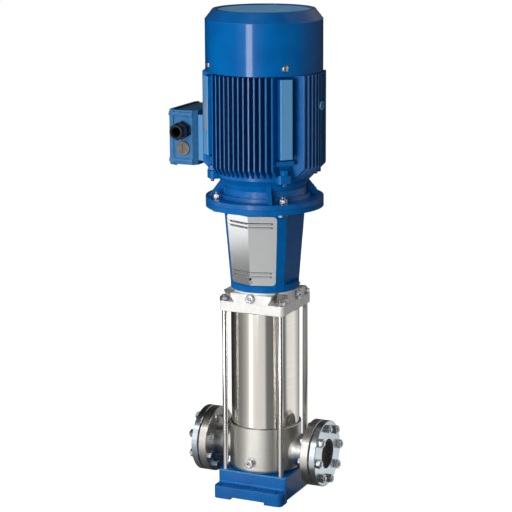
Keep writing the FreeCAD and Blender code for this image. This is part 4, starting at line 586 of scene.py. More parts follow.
laminations = layered("laminations", linear(0.62, 0.63, 0.65), linear(0.38, 0.39, 0.41), 900.0, 0.05, 1.0,
                      0.35, 0.5)
copper_winding = layered("copper_winding", linear(0.72, 0.40, 0.22), linear(0.42, 0.20, 0.10), 420.0, 0.4,
                         0.6, 0.3, 0.45)
dress(seal_rubber, "sleeve_seals")
dress(gasket_fibre, "flange_gaskets")
dress(seal_carbide, "seal_seat", "shaft_bushes")
dress(gland_plastic, "cable_gland", "gland_nut")
dress(plug_plastic, "blanking_plug")
dress(fan_plastic, "fan")
dress(block_plastic, "terminal_block")
dress(laminations, "stator_core", "rotor_core")
dress(copper_winding, "stator_windings")

# %% [markdown]
# New pieces are surfaces on a grid: rows of points along a profile, columns around an axis. Blender's
# own cylinders and cones could be joined instead, but a grid gives each chamfer and curve its own rows,
# as numbers that can be read. One function joins neighbouring points to quads, and a column is followed
# by the first one again, so that every surface closes round its axis.

# %% Helpers for grids
def grid_faces(rows, columns, close_rows=False):
    """Quads (i,j) (i,j+1) (i+1,j+1) (i+1,j) of a grid of points: the columns always close to a loop, the
    rows only when asked."""
    i, j = np.meshgrid(np.arange(rows if close_rows else rows - 1), np.arange(columns), indexing="ij")
    below, beside = (i + 1) % rows, (j + 1) % columns
    quads = [i * columns + j, i * columns + beside, below * columns + beside, below * columns + j]
    return np.stack(quads, axis=-1).reshape(-1, 4)


def refined(profile, step):
    """Profile of (radius, height) corners with points added, so that none lie further apart than step."""
    profile = np.asarray(profile, float)
    pieces = [profile[:1]]
    for start, end in zip(profile, profile[1:]):
        count = max(1, int(math.ceil(np.linalg.norm(end - start) / step)))
        pieces.append(start + (end - start) * np.linspace(0, 1, count + 1)[1:, None])
    return np.concatenate(pieces)


def turned_surface(profile, columns=48, flats=None, closed=False):
    """Profile turned about Z: x = r cos t, y = r sin t. With flats, r never passes a hexagon's side,
    which lies at flats / 2 / cos(t mod 60 degrees - 30 degrees). Flats can be one width for each row."""
    profile = np.asarray(profile, float)
    turn = np.arange(columns) * 2 * math.pi / columns
    radius = np.repeat(profile[:, :1], columns, axis=1)
    if flats is not None:
        across = np.broadcast_to(np.asarray(flats, float), len(profile))[:, None]
        radius = np.minimum(radius, across / 2 / np.cos(turn % (math.pi / 3) - math.pi / 6))
    height = np.repeat(profile[:, 1:2], columns, axis=1)
    points = np.stack([radius * np.cos(turn), radius * np.sin(turn), height], axis=-1).reshape(-1, 3)
    return points, grid_faces(len(profile), columns, close_rows=closed)


print("Grid helpers are ready")

# %% [markdown]
# A machine repeats its small parts: eight bolts, four nuts. A copied object for each would do, but one
# mesh is lighter, so a surface is worked out once and carried to all its places by their matrices. The
# last helper makes the mesh. Points that fall together, as at the tip of a dome, are merged, so the
# surface is closed, and every piece is tied to the CAD body that it moves with.

# %% Helpers for places and pieces
def put_at(origin, along, roll=0.0):
    """4 x 4 matrix that takes Z to a direction, turned about it, and the origin to a place in mm."""
    aim = Vector(along).to_track_quat("Z", "Y").to_matrix().to_4x4()
    return np.array(Matrix.Translation(Vector(origin)) @ aim @ Matrix.Rotation(roll, 4, "Z"))


def repeated(surface, places):
    """Copies of a surface at many places, worked out as one array."""
    points, faces = surface
    homogeneous = np.concatenate([points, np.ones((len(points), 1))], axis=1)
    copies = np.einsum("kij,nj->kni", np.asarray(places), homogeneous)[..., :3].reshape(-1, 3)
    steps = np.arange(len(places))[:, None, None] * len(points)
    return copies, (faces[None] + steps).reshape(-1, faces.shape[1])


def together(*surfaces):
    """Several surfaces as one."""
    points, faces, start = [], [], 0
    for some_points, some_faces in surfaces:
        points.append(some_points)
        faces.append(some_faces + start)
        start += len(some_points)
    return np.concatenate(points), np.concatenate(faces)


def make_piece(name, surface, material, body="root", stands_for=(), sharp=35.0):
    """Mesh object from a surface in mm: merged, closed, facing outwards, and tied to a CAD body."""
    points, faces = surface
    mesh = bpy.data.meshes.new(name)
    mesh.from_pydata((points * MM).tolist(), [], faces.tolist())
    work = bmesh.new()
    work.from_mesh(mesh)
    bmesh.ops.remove_doubles(work, verts=work.verts, dist=1e-6)
    bmesh.ops.recalc_face_normals(work, faces=work.faces)
    work.to_mesh(mesh)
    work.free()
    mesh.materials.append(material)
    mesh.shade_smooth()
    mesh.set_sharp_from_angle(angle=math.radians(sharp))
    piece = bpy.data.objects.new(name, mesh)
    bpy.context.scene.collection.objects.link(piece)
    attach(piece, body)
    if stands_for:
        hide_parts(*stands_for)
    print(name, "has", len(mesh.polygons), "faces")


print("Piece helpers are ready")

# %% [markdown]
# A real hexagon nut isn't a plain prism: its corners are cut by a cone, which leaves a curved line on
# each flat. That is the smaller of two shapes at each point, so the grid takes the minimum of the
# cone's radius and the hexagon's. A bolt head is the same thing without the hole. Its flat face is a
# little smaller than the width across its flats.

# %% Nuts and bolt heads
chamfer_slope = math.tan(math.radians(30))
bevel_step = 0.7
face_step = 4.0
nut_face_share = 0.47
head_face_share = 0.46
crown_high = 0.25
crown_edge = 0.6


def hex_nut(flats, low, high, bore_r):
    """Nut: chamfered top and bottom, with a hole; the profile closes on itself."""
    corner = flats / math.sqrt(3)
    face_r = flats * nut_face_share
    drop = (corner - face_r) * chamfer_slope
    loop = [(bore_r, low), (face_r, low), (corner, low + drop), (corner, high - drop), (face_r, high),
            (bore_r + 1.0, high), (bore_r, high - 1.0)]
    rows = np.concatenate([refined(loop[:2], face_step), refined(loop[1:3], bevel_step)[1:],
                           loop[3:4], refined(loop[3:5], bevel_step)[1:], loop[5:]])
    return turned_surface(rows, 60, flats, closed=True)


def hex_head(flats, low, high):
    """Bolt head: flat under, chamfered on top, closed at the axis."""
    corner = flats / math.sqrt(3)
    face_r = flats * head_face_share
    drop = (corner - face_r) * chamfer_slope
    rows = np.concatenate([[(0, low), (corner, low), (corner, high - drop)],
                           refined([(corner, high - drop), (face_r, high)], bevel_step)[1:],
                           [(face_r - crown_edge, high + crown_high), (0, high + crown_high)]])
    return turned_surface(rows, 60, flats)


print("Hexagons are chamfered by", round(math.degrees(math.atan(chamfer_slope))), "degrees")

# %% [markdown]
# A washer is a flat ring with eased edges. A thread could be a bump in the shader, but then its outline
# would be smooth, and the ends of these bolts stand out against the light. So the thread is real: on the
# grid the radius goes down and up once per pitch, and the pattern climbs as it goes round.

# %% Washers and threads
thread_rows = 6
tip_bevel = 1.2
tip_inset = 0.2


def washer(outer, inner, low, high):
    """Flat ring with eased edges."""
    ease = (high - low) * 0.25
    loop = [(inner, low), (outer - ease, low), (outer, low + ease), (outer, high - ease),
            (outer - ease, high), (inner, high)]
    return turned_surface(loop, 48, closed=True)


def thread(radius, low, high, pitch=2.0, depth=0.9, columns=32):
    """Screw thread: the radius goes down and up once per pitch, and the pattern climbs with the angle,
    r = radius - depth * |2 * fraction(z / pitch - t / 360) - 1|, and it ends in a small bevel."""
    rows = int((high - low) / pitch * thread_rows) + 2
    height = np.linspace(low, high, rows)[:, None]
    turn = np.arange(columns)[None, :] * 2 * math.pi / columns
    saw = np.abs(2 * ((height / pitch - turn / (2 * math.pi)) % 1.0) - 1)
    radii = np.minimum(radius - depth * saw, radius - tip_inset - (height - (high - tip_bevel)))
    radii = np.concatenate([np.zeros((1, columns)), radii, np.zeros((1, columns))])
    levels = np.concatenate([[low], height[:, 0], [high]])[:, None] + 0 * turn
    points = np.stack([radii * np.cos(turn), radii * np.sin(turn), levels], axis=-1).reshape(-1, 3)
    return points, grid_faces(rows + 2, columns)


print("A thread has", thread_rows, "rows to a pitch")

# %% [markdown]
# Eight bolts clamp each pipe flange. The flanges are loose, so each pattern can stand at any angle: on the
# discharge side it is turned by five degrees, and on the suction side by half a step. Bright heads face
# the pump, and the threaded ends with their nuts stand out on the pipe side. A bolt is made once, with
# its axis up, and put_at turns it to the pipe's direction. Its head is mirrored in height first, because
# it points back to the pump, and make_piece turns the faces outwards again.

# %% Flange bolts
port_height = 140.0
flange_bolts = 8
flange_pitch_r = 80.0
flange_back = 155.5
counter_far = 204.5
bolt_r = 8.0
bolt_flats = 24.0
head_high = 10.0
shank_long = 50.0
thread_long = 16.5
nut_seat = 0.2
nut_high = 13.0


def flange_places(side, turn, x):
    """Places of the bolts of one flange, looking out along the pipe."""
    places = []
    for step in range(flange_bolts):
        angle = turn + 2 * math.pi * step / flange_bolts
        y = flange_pitch_r * math.cos(angle)
        z = port_height + flange_pitch_r * math.sin(angle)
        places.append(put_at((side * x, y, z), (side, 0, 0), roll=angle * side))
    return places


half_step = math.radians(22.5)
discharge_turn = math.radians(5.0)
outer_places = flange_places(1, discharge_turn, counter_far) + flange_places(-1, half_step, counter_far)
inner_places = flange_places(1, discharge_turn, flange_back) + flange_places(-1, half_step, flange_back)
head_points, head_faces = hex_head(bolt_flats, 0.0, head_high)
back_heads = (head_points * (1, 1, -1), head_faces)
shank = turned_surface([(0, 0), (bolt_r, 0), (bolt_r, shank_long), (0, shank_long)], 24)
bolts = together(repeated(back_heads, inner_places), repeated(shank, inner_places),
                 repeated(thread(bolt_r, 0.0, thread_long), outer_places))
make_piece("flange_bolt_set", bolts, zinc_bolt, stands_for=("flange_bolts",))
nuts = repeated(hex_nut(bolt_flats, nut_seat, nut_high, bolt_r), outer_places)
make_piece("flange_nut_set", nuts, steel_nut, stands_for=("flange_nuts",))

# %% [markdown]
# The four tie rods end in the corner pockets of the head. Each has a washer, a nut and a threaded tip.
# The rods themselves are bright drawn bars, threaded only near their upper end. The plain bar and its
# thread are two surfaces in one mesh, and the bar has a slightly thinner neck below the thread. Heights
# here are counted from the floor of the pocket.

# %% Tie rods
rod_place = 91.5
rod_r = 8.0
rod_low = 46.0
pocket_floor = 609.0
rod_nut_turn = 0.4
rod_nut_high = 12.0
rod_washer_r = 13.6
rod_washer_high = 1.5
rod_tip = 17.0
thread_low = -3.0
neck_low = -30.0
neck_r = rod_r - 0.7
rod_places = [put_at((sx * rod_place, sy * rod_place, pocket_floor), Z_AXIS, roll=rod_nut_turn)
              for sx in (-1, 1) for sy in (-1, 1)]
rod_nuts = together(repeated(hex_nut(bolt_flats, rod_washer_high, rod_nut_high, rod_r), rod_places),
                    repeated(washer(rod_washer_r, rod_r + 0.3, 0.0, rod_washer_high), rod_places))
make_piece("tie_rod_nut_set", rod_nuts, steel_nut, stands_for=("tie_rod_nuts",))
bare_rod = turned_surface([(0, rod_low - pocket_floor), (rod_r, rod_low - pocket_floor), (rod_r, neck_low),
                           (neck_r, neck_low + 1.0), (neck_r, thread_low), (0, thread_low)], 40)
rods = together(repeated(bare_rod, rod_places), repeated(thread(rod_r, thread_low, rod_tip), rod_places))
make_piece("tie_rod_set", rods, rod_steel, stands_for=("tie_rods",))

# %% [markdown]
# Four bolts hold the motor flange on the lantern, with their heads below and nuts on top. They stand on
# the diagonals, so one function gives the places of any ring of four.

# %% Motor flange bolts
motor_pitch_r = 150.0
lantern_flange_low = 889.0
motor_flange_top = 919.0
motor_grip = 34.0
motor_nut_high = 14.0
motor_washer_high = 1.6
motor_thread_long = 21.0
diagonal_roll = 0.3
DOWN = (0, 0, -1)


def quarter_places(radius, z, down=False):
    """Places on the four diagonals at a height."""
    axis = DOWN if down else Z_AXIS
    return [put_at((radius * math.cos(a), radius * math.sin(a), z), axis, roll=diagonal_roll)
            for a in QUARTERS]


motor_below = quarter_places(motor_pitch_r, lantern_flange_low)
motor_above = quarter_places(motor_pitch_r, motor_flange_top)
motor_bolts = together(
    repeated(hex_head(bolt_flats, 0.0, head_high),
             quarter_places(motor_pitch_r, lantern_flange_low, down=True)),
    repeated(turned_surface([(0, 0), (bolt_r, 0), (bolt_r, motor_grip), (0, motor_grip)], 24), motor_below),
    repeated(hex_nut(bolt_flats, motor_washer_high, motor_nut_high, bolt_r), motor_above),
    repeated(washer(14.5, 8.3, 0.0, motor_washer_high), motor_above),
    repeated(thread(bolt_r, 0.0, motor_thread_long), motor_above))
make_piece("motor_bolt_set", motor_bolts, zinc_bolt, stands_for=("motor_flange_bolts",))

# %% [markdown]
# Four more bolts hold the drive end shield to the lugs of the frame, and four small screws the fan end
# shield, under the cowl. They were painted over with the motor, and only the tips that come out under the
# lugs are bare. One CAD node stands behind both, so both new pieces replace it.

# %% Shield bolts
lug_pitch_r = 163.0
lug_top = 1004.0
ear_low = 980.0
rim_pitch_r = 144.0
rim_seat = 1300.0
lug_bolt_r = 6.0
lug_flats = 22.0


def lug_places(z, down=False):
    """Places of the lug bolts, each turned so that a flat of its head faces the frame."""
    axis = DOWN if down else Z_AXIS
    turns = [-a if down else a for a in QUARTERS]
    return [put_at((lug_pitch_r * math.cos(a), lug_pitch_r * math.sin(a), z), axis, roll=turn + math.pi / 6)
            for a, turn in zip(QUARTERS, turns)]


rim_screw_head = turned_surface([(0, 0), (5.6, 0), (6.0, 0.6), (6.0, 4.4), (5.4, 5.0), (0, 5.0)], 24)
rim_screw_stem = turned_surface([(0, -30.0), (4.0, -30.0), (4.0, 0), (0, 0)], 20)
rim_places = quarter_places(rim_pitch_r, rim_seat)
painted_heads = together(
    repeated(hex_head(lug_flats, 1.5, 15.5), lug_places(lug_top)),
    repeated(washer(13.0, 6.2, 0.0, 1.5), lug_places(lug_top)),
    repeated(rim_screw_head, rim_places),
    repeated(rim_screw_stem, rim_places))
make_piece("shield_bolt_heads", painted_heads, motor_paint, stands_for=("shield_bolts",))
through = ear_low - lug_top
lug_stem = turned_surface([(0, through), (lug_bolt_r, through), (lug_bolt_r, 0), (0, 0)], 24)
bare_tips = together(repeated(thread(lug_bolt_r, 0.0, 9.0), lug_places(ear_low, down=True)),
                     repeated(lug_stem, lug_places(lug_top)))
make_piece("shield_bolt_tips", bare_tips, zinc_bolt, stands_for=("shield_bolts",))

# %% [markdown]
# Three hexagon plugs close the drain, the filling hole and the vent. A plug has a round collar under its
# head and a hexagon socket in it. The socket is the same trick as the nut, turned inward: the rows that
# run down the hole are held inside a smaller hexagon. A row that must stay round gets the width FREE,
# which is too wide to cut anything.

# %% Plugs
FREE = 1000.0
plug_flats = 24.0
plug_socket = 10.0
plug_socket_deep = 7.0
collar_high = 3.0
plug_high = 12.0


def socket_head(flats, low, high, socket_flats, socket_deep):
    """Hexagon head with a hexagon socket: outer rows keep to one width across flats, and inner rows to
    another."""
    corner = flats / math.sqrt(3)
    face_r = flats * head_face_share
    drop = (corner - face_r) * chamfer_slope
    socket_r = socket_flats / math.sqrt(3)
    outer = np.concatenate([[(0, low), (corner, low)],
                            refined([(corner, high - drop), (face_r, high)], bevel_step)])
    inner = np.array([(socket_r + 0.9, high), (socket_r, high - 0.9), (socket_r, high - socket_deep),
                      (0, high - socket_deep - 0.6)])
    flat_rows = [flats] * len(outer) + [FREE] + [socket_flats] * 3
    return turned_surface(np.concatenate([outer, inner]), 60, flat_rows)


plug_places = [put_at((0, -112.0, 115.0), (0, -1, 0)), put_at((0, -103.0, 624.0), (0, -1, 0)),
               put_at((103.0, 0, 624.0), X_AXIS)]
plug_collar = turned_surface([(0, -8.0), (8.9, -8.0), (8.9, 0), (14.2, 0), (14.5, 0.4), (14.5, 2.5),
                              (14.0, collar_high), (0, collar_high)], 48)
plug_head = socket_head(plug_flats, collar_high, plug_high, plug_socket, plug_socket_deep)
plug_set = together(repeated(plug_collar, plug_places), repeated(plug_head, plug_places))
make_piece("plug_set", plug_set, steel_nut, stands_for=("plugs",))

# %% [markdown]
# The cowl is held by four dome-headed socket screws with thin washers. The same screw, smaller, holds
# each guard at the bottom of its crease. A quarter circle would be too round for such a head, so the dome
# is the middle part of a flat arc over a short straight side: z = side + rise * sqrt(1 - (r / wide)^2).

# %% Cowl screws
dome_side = 0.6
dome_width = 1.02
socket_share = 0.6


def dome_screw(head_r, dome_top, socket_flats, stem_r, stem_long):
    """Screw with a domed head, a hexagon socket and a plain stem, its seat at Z = 0."""
    socket_r = socket_flats / math.sqrt(3)
    radii = np.linspace(head_r, socket_r + 0.4, 9)
    rise = (dome_top - dome_side) * np.sqrt(1 - (radii / (head_r * dome_width)) ** 2)
    dome = np.stack([radii, dome_side + rise], axis=-1)
    rim_z = dome[-1, 1]
    outer = np.concatenate([[(0, -stem_long), (stem_r, -stem_long), (stem_r, 0), (head_r, 0)], dome])
    socket_z = rim_z - dome_top * socket_share
    inner = [(socket_r, rim_z - 0.5), (socket_r, socket_z), (0, socket_z)]
    return turned_surface(np.concatenate([outer, inner]), 48, [FREE] * len(outer) + [socket_flats] * 3)


cowl_r = 172.5
cowl_screw_z = 1312.0
cowl_places = [put_at((cowl_r * math.cos(a), cowl_r * math.sin(a), cowl_screw_z),
                      (math.cos(a), math.sin(a), 0)) for a in QUARTERS]
cowl_screws = together(repeated(dome_screw(9.0, 5.0, 6.0, 3.0, 14.0), cowl_places),
                       repeated(washer(10.6, 3.2, -0.2, 0.9), cowl_places))
make_piece("cowl_screw_set", cowl_screws, steel_nut, stands_for=("cowl_screws",))

# %% [markdown]
# The lid of the terminal box has four screws with cylinder heads, and each guard has one small dome
# screw. The CAD model has no guard screws, so this set replaces nothing and is a piece of its own.

# %% Lid and guard screws
lid_face = -270.0
lid_socket = 4.6
lid_places = [put_at((lid_face, sy * 80.0, z), (-1, 0, 0)) for sy in (-1, 1) for z in (1019.0, 1157.0)]
lid_outer = [(0, -34.0), (2.9, -34.0), (2.9, 0), (5.2, 0), (5.5, 0.4), (5.5, 3.4), (4.9, 4.0)]
lid_inner = [(3.0, 4.0), (2.6, 3.6), (2.6, 1.2), (0, 1.0)]
lid_widths = [FREE] * (len(lid_outer) + 2) + [lid_socket] * 2
lid_screw = turned_surface(lid_outer + lid_inner, 36, lid_widths)
make_piece("lid_screw_set", repeated(lid_screw, lid_places), steel_nut,
           stands_for=("lid_screws",))

guard_screw_y, guard_screw_z = 104.9, 674.0
guard_places = [put_at((0, side * guard_screw_y, guard_screw_z), (0, side, 0)) for side in (-1, 1)]
make_piece("guard_screw_set", repeated(dome_screw(4.4, 3.0, 2.5, 2.0, 8.0), guard_places), zinc_bolt)

# %% [markdown]
# Two ribs are pressed into each guard near its top and two near its bottom, to stiffen the sheet. In the
# CAD model they are square strips, and a press leaves them round. Each is a half ellipse carried along
# the creased sheet: y = -(front * scale(z) + t) + |x| * slope - proud * sqrt(1 - (dz / half)^2), and the
# height of the arc fades to nothing at its two ends.

# %% Ribs of the guards
crease_y = 120.0
cheek_x, cheek_y = 82.0, 90.0
scale_low, scale_high = 0.84, 1.015
lantern_low, lantern_top = 642.0, 905.0
rib_margin = 9.0
rib_end = 6.0
rib_root = 0.7
rib_heights = (690.0, 702.0, 840.0, 852.0)


def pressed_rib(middle_z, proud=3.2, half_high=3.0, lift=1.4, stations=61, around=14):
    """Rounded rib across a creased and leaning sheet, closed at its back and at its ends."""
    scale = scale_low + (scale_high - scale_low) * (middle_z - lantern_low) / (lantern_top - lantern_low)
    reach = cheek_x * scale - rib_margin
    x = np.linspace(-reach, reach, stations)[:, None]
    past = np.clip(np.abs(x) - (reach - rib_end), 0, None) / rib_end
    fade = np.sqrt(np.clip(1 - past ** 2, 0, 1))
    arc = np.arange(around)[None, :] * 2 * math.pi / around
    dz = half_high * np.cos(arc) * fade
    rise = np.where(np.sin(arc) > 0, proud, rib_root) * np.sin(arc) * fade
    z = middle_z + dz
    local = scale_low + (scale_high - scale_low) * (z - lantern_low) / (lantern_top - lantern_low)
    y = -(crease_y * local + lift) + np.abs(x) * (crease_y - cheek_y) / cheek_x - rise
    points = np.stack([x + 0 * z, y, z], axis=-1).reshape(-1, 3)
    return points, grid_faces(stations, around)


ribs = together(*[pressed_rib(z) for z in rib_heights])
both_sides = [np.eye(4), np.diag([-1.0, -1.0, 1.0, 1.0])]
rib_steel = grained_sheet("rib_steel", linear(0.86, 0.86, 0.86), linear(0.82, 0.82, 0.82), 0.14, 0.17)
make_piece("guard_ribs", repeated(ribs, both_sides), rib_steel)

# %% [markdown]
# The cable gland is moulded: a hexagon on the box, a ribbed collar and a domed nut with fine grips round
# its nose, and a rubber ring inside that would grip the cable. The grips could be cut one by one, but a
# small wave of the radius with the angle gives them all at once.

# %% Cable gland
gland_centre = (-224.0, -85.0, 1111.0)
gland_places = [put_at(gland_centre, (0, -1, 0), roll=math.pi / 6)]
gland_flats = 48.0
dome_flats = 46.0
grips = 24
grip_depth = 0.012


def gland_body():
    """Thread, hexagon and collar of the gland, bored through."""
    corner = gland_flats / math.sqrt(3)
    ring = [(19.0, 14.0), (19.4, 15.0), (18.4, 16.0), (19.4, 17.0), (18.4, 18.0), (19.4, 19.0), (18.4, 20.0),
            (19.2, 21.5), (19.2, 23.0), (14.5, 23.0)]
    hexagon = [(corner, 0.0), (corner, 12.4), (corner - 2.2, 14.0)]
    start = [(14.5, -12.0), (19.5, -12.0), (19.5, 0.0)]
    widths = [FREE] * 3 + [gland_flats] * 3 + [FREE] * len(ring)
    return turned_surface(start + hexagon + ring, 60, widths, closed=True)


def gland_dome():
    """Domed nut: hexagon, then a rounded nose, then the open mouth. The grips on the nose are a wave of
    the radius: r (1 + depth * cos(grips * t))."""
    corner = dome_flats / math.sqrt(3)
    bend = np.linspace(0, math.pi / 2, 10)
    nose = np.stack([19.0 + 3.6 * np.cos(bend), 43.0 + 8.0 * np.sin(bend)], axis=-1)
    hexagon = [(corner, 23.4), (corner, 38.0), (corner - 1.6, 41.0)]
    mouth = [(15.5, 51.0), (14.6, 50.2), (12.5, 47.0), (12.5, 23.4)]
    rows = np.concatenate([hexagon, nose, mouth])
    widths = [dome_flats] * 3 + [FREE] * (len(nose) + len(mouth))
    points, faces = turned_surface(rows, 96, widths, closed=True)
    turn = np.arctan2(points[:, 1], points[:, 0])
    on_nose = (points[:, 2] > 42.5) & (np.hypot(points[:, 0], points[:, 1]) > 19.5)
    wave = 1.0 + grip_depth * np.cos(grips * turn) * on_nose
    return points * np.stack([wave, wave, np.ones_like(wave)], axis=-1), faces


make_piece("gland_body", repeated(gland_body(), gland_places), gland_plastic,
           stands_for=("cable_gland",))
make_piece("gland_dome", repeated(gland_dome(), gland_places), gland_plastic,
           stands_for=("gland_nut",))
grip_ring = turned_surface([(12.6, 30.0), (14.9, 30.0), (14.9, 47.6), (14.0, 48.4), (13.2, 47.8),
                            (12.6, 46.0)], 48, closed=True)
make_piece("gland_seal", repeated(grip_ring, gland_places), seal_rubber)

# %% [markdown]
# Joints between castings show as thin lines: dark where a seal lies, pale where a bare machined rim shows
# under the paint. The dark ring at the joint of the motor flange and the lantern, where no seal lies, is
# painted shade: dark rubber put where the gap between the flanges lies in shadow. A material could draw them,
# but a ring has a real edge from every side, so each is a slim ring at the height of its joint. The bend
# between the wall of the cowl and its slope is round on the real sheet, so a thin round bead there catches
# the light.

# %% Seams
def slim_ring(inner, outer, low, high, columns=128):
    """Closed ring with a rectangular section, very slightly rounded at its outer side."""
    middle = (low + high) / 2
    return turned_surface([(inner, low), (outer - 0.1, low), (outer, middle), (outer - 0.1, high),
                           (inner, high)], columns, closed=True)


# Two seal rings, and one ring of painted shade in the gap under the motor flange
seal_and_gap_shade_rings = together(slim_ring(172.0, 175.25, 904.5, 905.5), slim_ring(103.05, 104.8, 221.6, 222.6),
                      slim_ring(102.0, 103.6, 577.0, 578.4))
make_piece("joint_seams", seal_and_gap_shade_rings, seal_rubber)
make_piece("bare_rim", slim_ring(97.0, 101.6, 641.2, 642.6), flange_steel)
bend_z = 1440.0
bead_r = 1.7
bend = np.arange(12) * math.pi / 6
bend_loop = np.stack([cowl_r - 1.3 + bead_r * np.cos(bend), bend_z - 0.2 + bead_r * np.sin(bend)], axis=-1)
make_piece("cowl_bend", turned_surface(bend_loop, 160, closed=True), sheet_paint)

# %% [markdown]
# The lid of the terminal box presses on a rubber seal, which shows as a dark line round its edge. Like the
# rating plate it is a flat plate with rounded corners. A cube with a Bevel modifier would do, but here one
# outline carries both, and its rows run from the middle of the back to the middle of the face.

# %% Lid seal
def rounded_plate(half_x, half_y, corner, low, high, bevel=0.3, steps=8):
    """Flat plate with rounded corners. Each corner of the outline is a quarter circle, at the place
    (half - corner) + corner * (cos t, sin t), and each row is the outline times a share, at a height."""
    arc = np.linspace(0, math.pi / 2, steps)
    outline = []
    for quarter, (sx, sy) in enumerate(((1, 1), (-1, 1), (-1, -1), (1, -1))):
        turn = arc + quarter * math.pi / 2
        outline.append(np.stack([sx * (half_x - corner) + corner * np.cos(turn),
                                 sy * (half_y - corner) + corner * np.sin(turn)], axis=-1))
    outline = np.concatenate(outline)
    edge_share = 1.0 - bevel / half_x
    rows = []
    for share, height in ((0.0, low), (1.0, low), (1.0, high - bevel), (edge_share, high), (0.0, high)):
        rows.append(np.column_stack([outline * share, np.full(len(outline), height)]))
    return np.concatenate(rows), grid_faces(len(rows), len(outline))


lid_seal_place = [put_at((-256.0, 0, 1088.0), (-1, 0, 0))]
lid_seal = repeated(rounded_plate(81.6, 85.5, 4.0, -3.0, 2.2), lid_seal_place)
make_piece("lid_seal", lid_seal, seal_rubber)

# %% [markdown]
# The rating plate sits on the left front pad of the frame. It stays bare: a thin plate with rounded
# corners, a bevelled edge and four rivets. It is turned to the pad by put_at, which may lay the plate's own
# X axis up or sideways, so the matrix is asked which of its halves is the long one.

# %% Rating plate
plate_turn = math.radians(225)
plate_r = 183.0
plate_shift = 4.0
plate_z = 1168.0
plate_x = plate_r * math.cos(plate_turn) - plate_shift * math.sin(plate_turn)
plate_y = plate_r * math.sin(plate_turn) + plate_shift * math.cos(plate_turn)
plate_place = [put_at((plate_x, plate_y, plate_z), (math.cos(plate_turn), math.sin(plate_turn), 0))]
plate_half_up = 46.0
plate_half_wide = 12.0
rivet_inset = 4.0
x_axis_up = abs(plate_place[0][2][0]) > 0.5
half_x, half_y = (plate_half_up, plate_half_wide) if x_axis_up else (plate_half_wide, plate_half_up)
plate_steel = blasted("plate_steel", linear(0.62, 0.66, 0.70), linear(0.50, 0.55, 0.60), 2600.0, 0.006,
                      0.34, 0.46)
plate = repeated(rounded_plate(half_x, half_y, 3.0, 0.0, 0.9), plate_place)
make_piece("rating_plate", plate, plate_steel)
rivet = turned_surface([(0, 0.8), (1.9, 0.8), (1.8, 1.4), (1.2, 1.9), (0, 2.1)], 24)
rivet_x, rivet_y = half_x - rivet_inset, half_y - rivet_inset
rivet_places = [plate_place[0] @ np.array(Matrix.Translation((sx * rivet_x, sy * rivet_y, 0)))
                for sx in (-1, 1) for sy in (-1, 1)]
make_piece("plate_rivets", repeated(rivet, rivet_places), zinc_bolt)

# %% [markdown]
# A fine wire mesh lies in the slots of the cowl, level with the grille's top, and keeps fingers and leaves
# away from the fan. It could be a picture with holes, but real bars let the light through at every angle.
# It is two layers of thin bars, each as long as the chord of the circle at its place: 2 sqrt(r^2 - x^2).
# A bar has four rings of six points, and the end rings are drawn together, so that it is closed.

# %% Wire mesh
bar_rings = 4
bar_sides = 6
mesh_r = 140.0
mesh_z = 1464.9
wire_pitch = 4.0
wire_thick = 1.7
layer_gap = 1.4


def bar_layer(radius, pitch, thick, z, along_x):
    """Parallel six-sided bars across a circle, all worked out together as one array."""
    offsets = np.arange(-radius + pitch, radius, pitch)
    section = np.arange(bar_sides) * math.pi / (bar_sides / 2)
    halves = np.sqrt(radius ** 2 - offsets ** 2)
    side = thick / 2 * np.cos(section)
    rise = z + thick / 2 * np.sin(section)
    points = []
    for end in (-1, -1, 1, 1):
        lengths = np.broadcast_to((halves * end)[:, None], (len(offsets), bar_sides))
        levels = np.broadcast_to(rise, lengths.shape)
        points.append(np.stack([lengths, offsets[:, None] + side, levels], axis=-1))
    points[0] = np.broadcast_to(points[0].mean(axis=1, keepdims=True), points[0].shape)
    points[3] = np.broadcast_to(points[3].mean(axis=1, keepdims=True), points[3].shape)
    points = np.stack(points, axis=1).reshape(-1, 3)
    if not along_x:
        points = points[:, [1, 0, 2]]
    starts = np.arange(len(offsets)) * bar_rings * bar_sides
    faces = (grid_faces(bar_rings, bar_sides)[None] + starts[:, None, None]).reshape(-1, 4)
    return points, faces


mesh_paint = painted("blue_mesh", 700.0, 0.01, 0.30, 0.44, bright=linear(0.46, 0.68, 0.84),
                     deep=linear(0.38, 0.60, 0.77))
wires = together(bar_layer(mesh_r, wire_pitch, wire_thick, mesh_z, True),
                 bar_layer(mesh_r, wire_pitch, wire_thick, mesh_z - layer_gap, False))
make_piece("fan_mesh", wires, mesh_paint)

# %% [markdown]
# Polished steel shows what stands round it. In a studio that is white paper with dark gaps between
# the softboxes, and these make the upright light and dark bands on the sleeve. A node group plays that
# room: from a place it works out the compass direction, and gives the brightness of the room there.
# The camera looks down, so an upright surface mirrors the floor as well as the walls. The same group
# serves both, and a band runs on from the wall over the floor towards the object. The stops are compass
# degrees, with 0 in front and the discharge side positive, and brightness. A colour ramp holds no more
# than 1, so the levels are divided by the brightest there and multiplied by it behind the ramp.

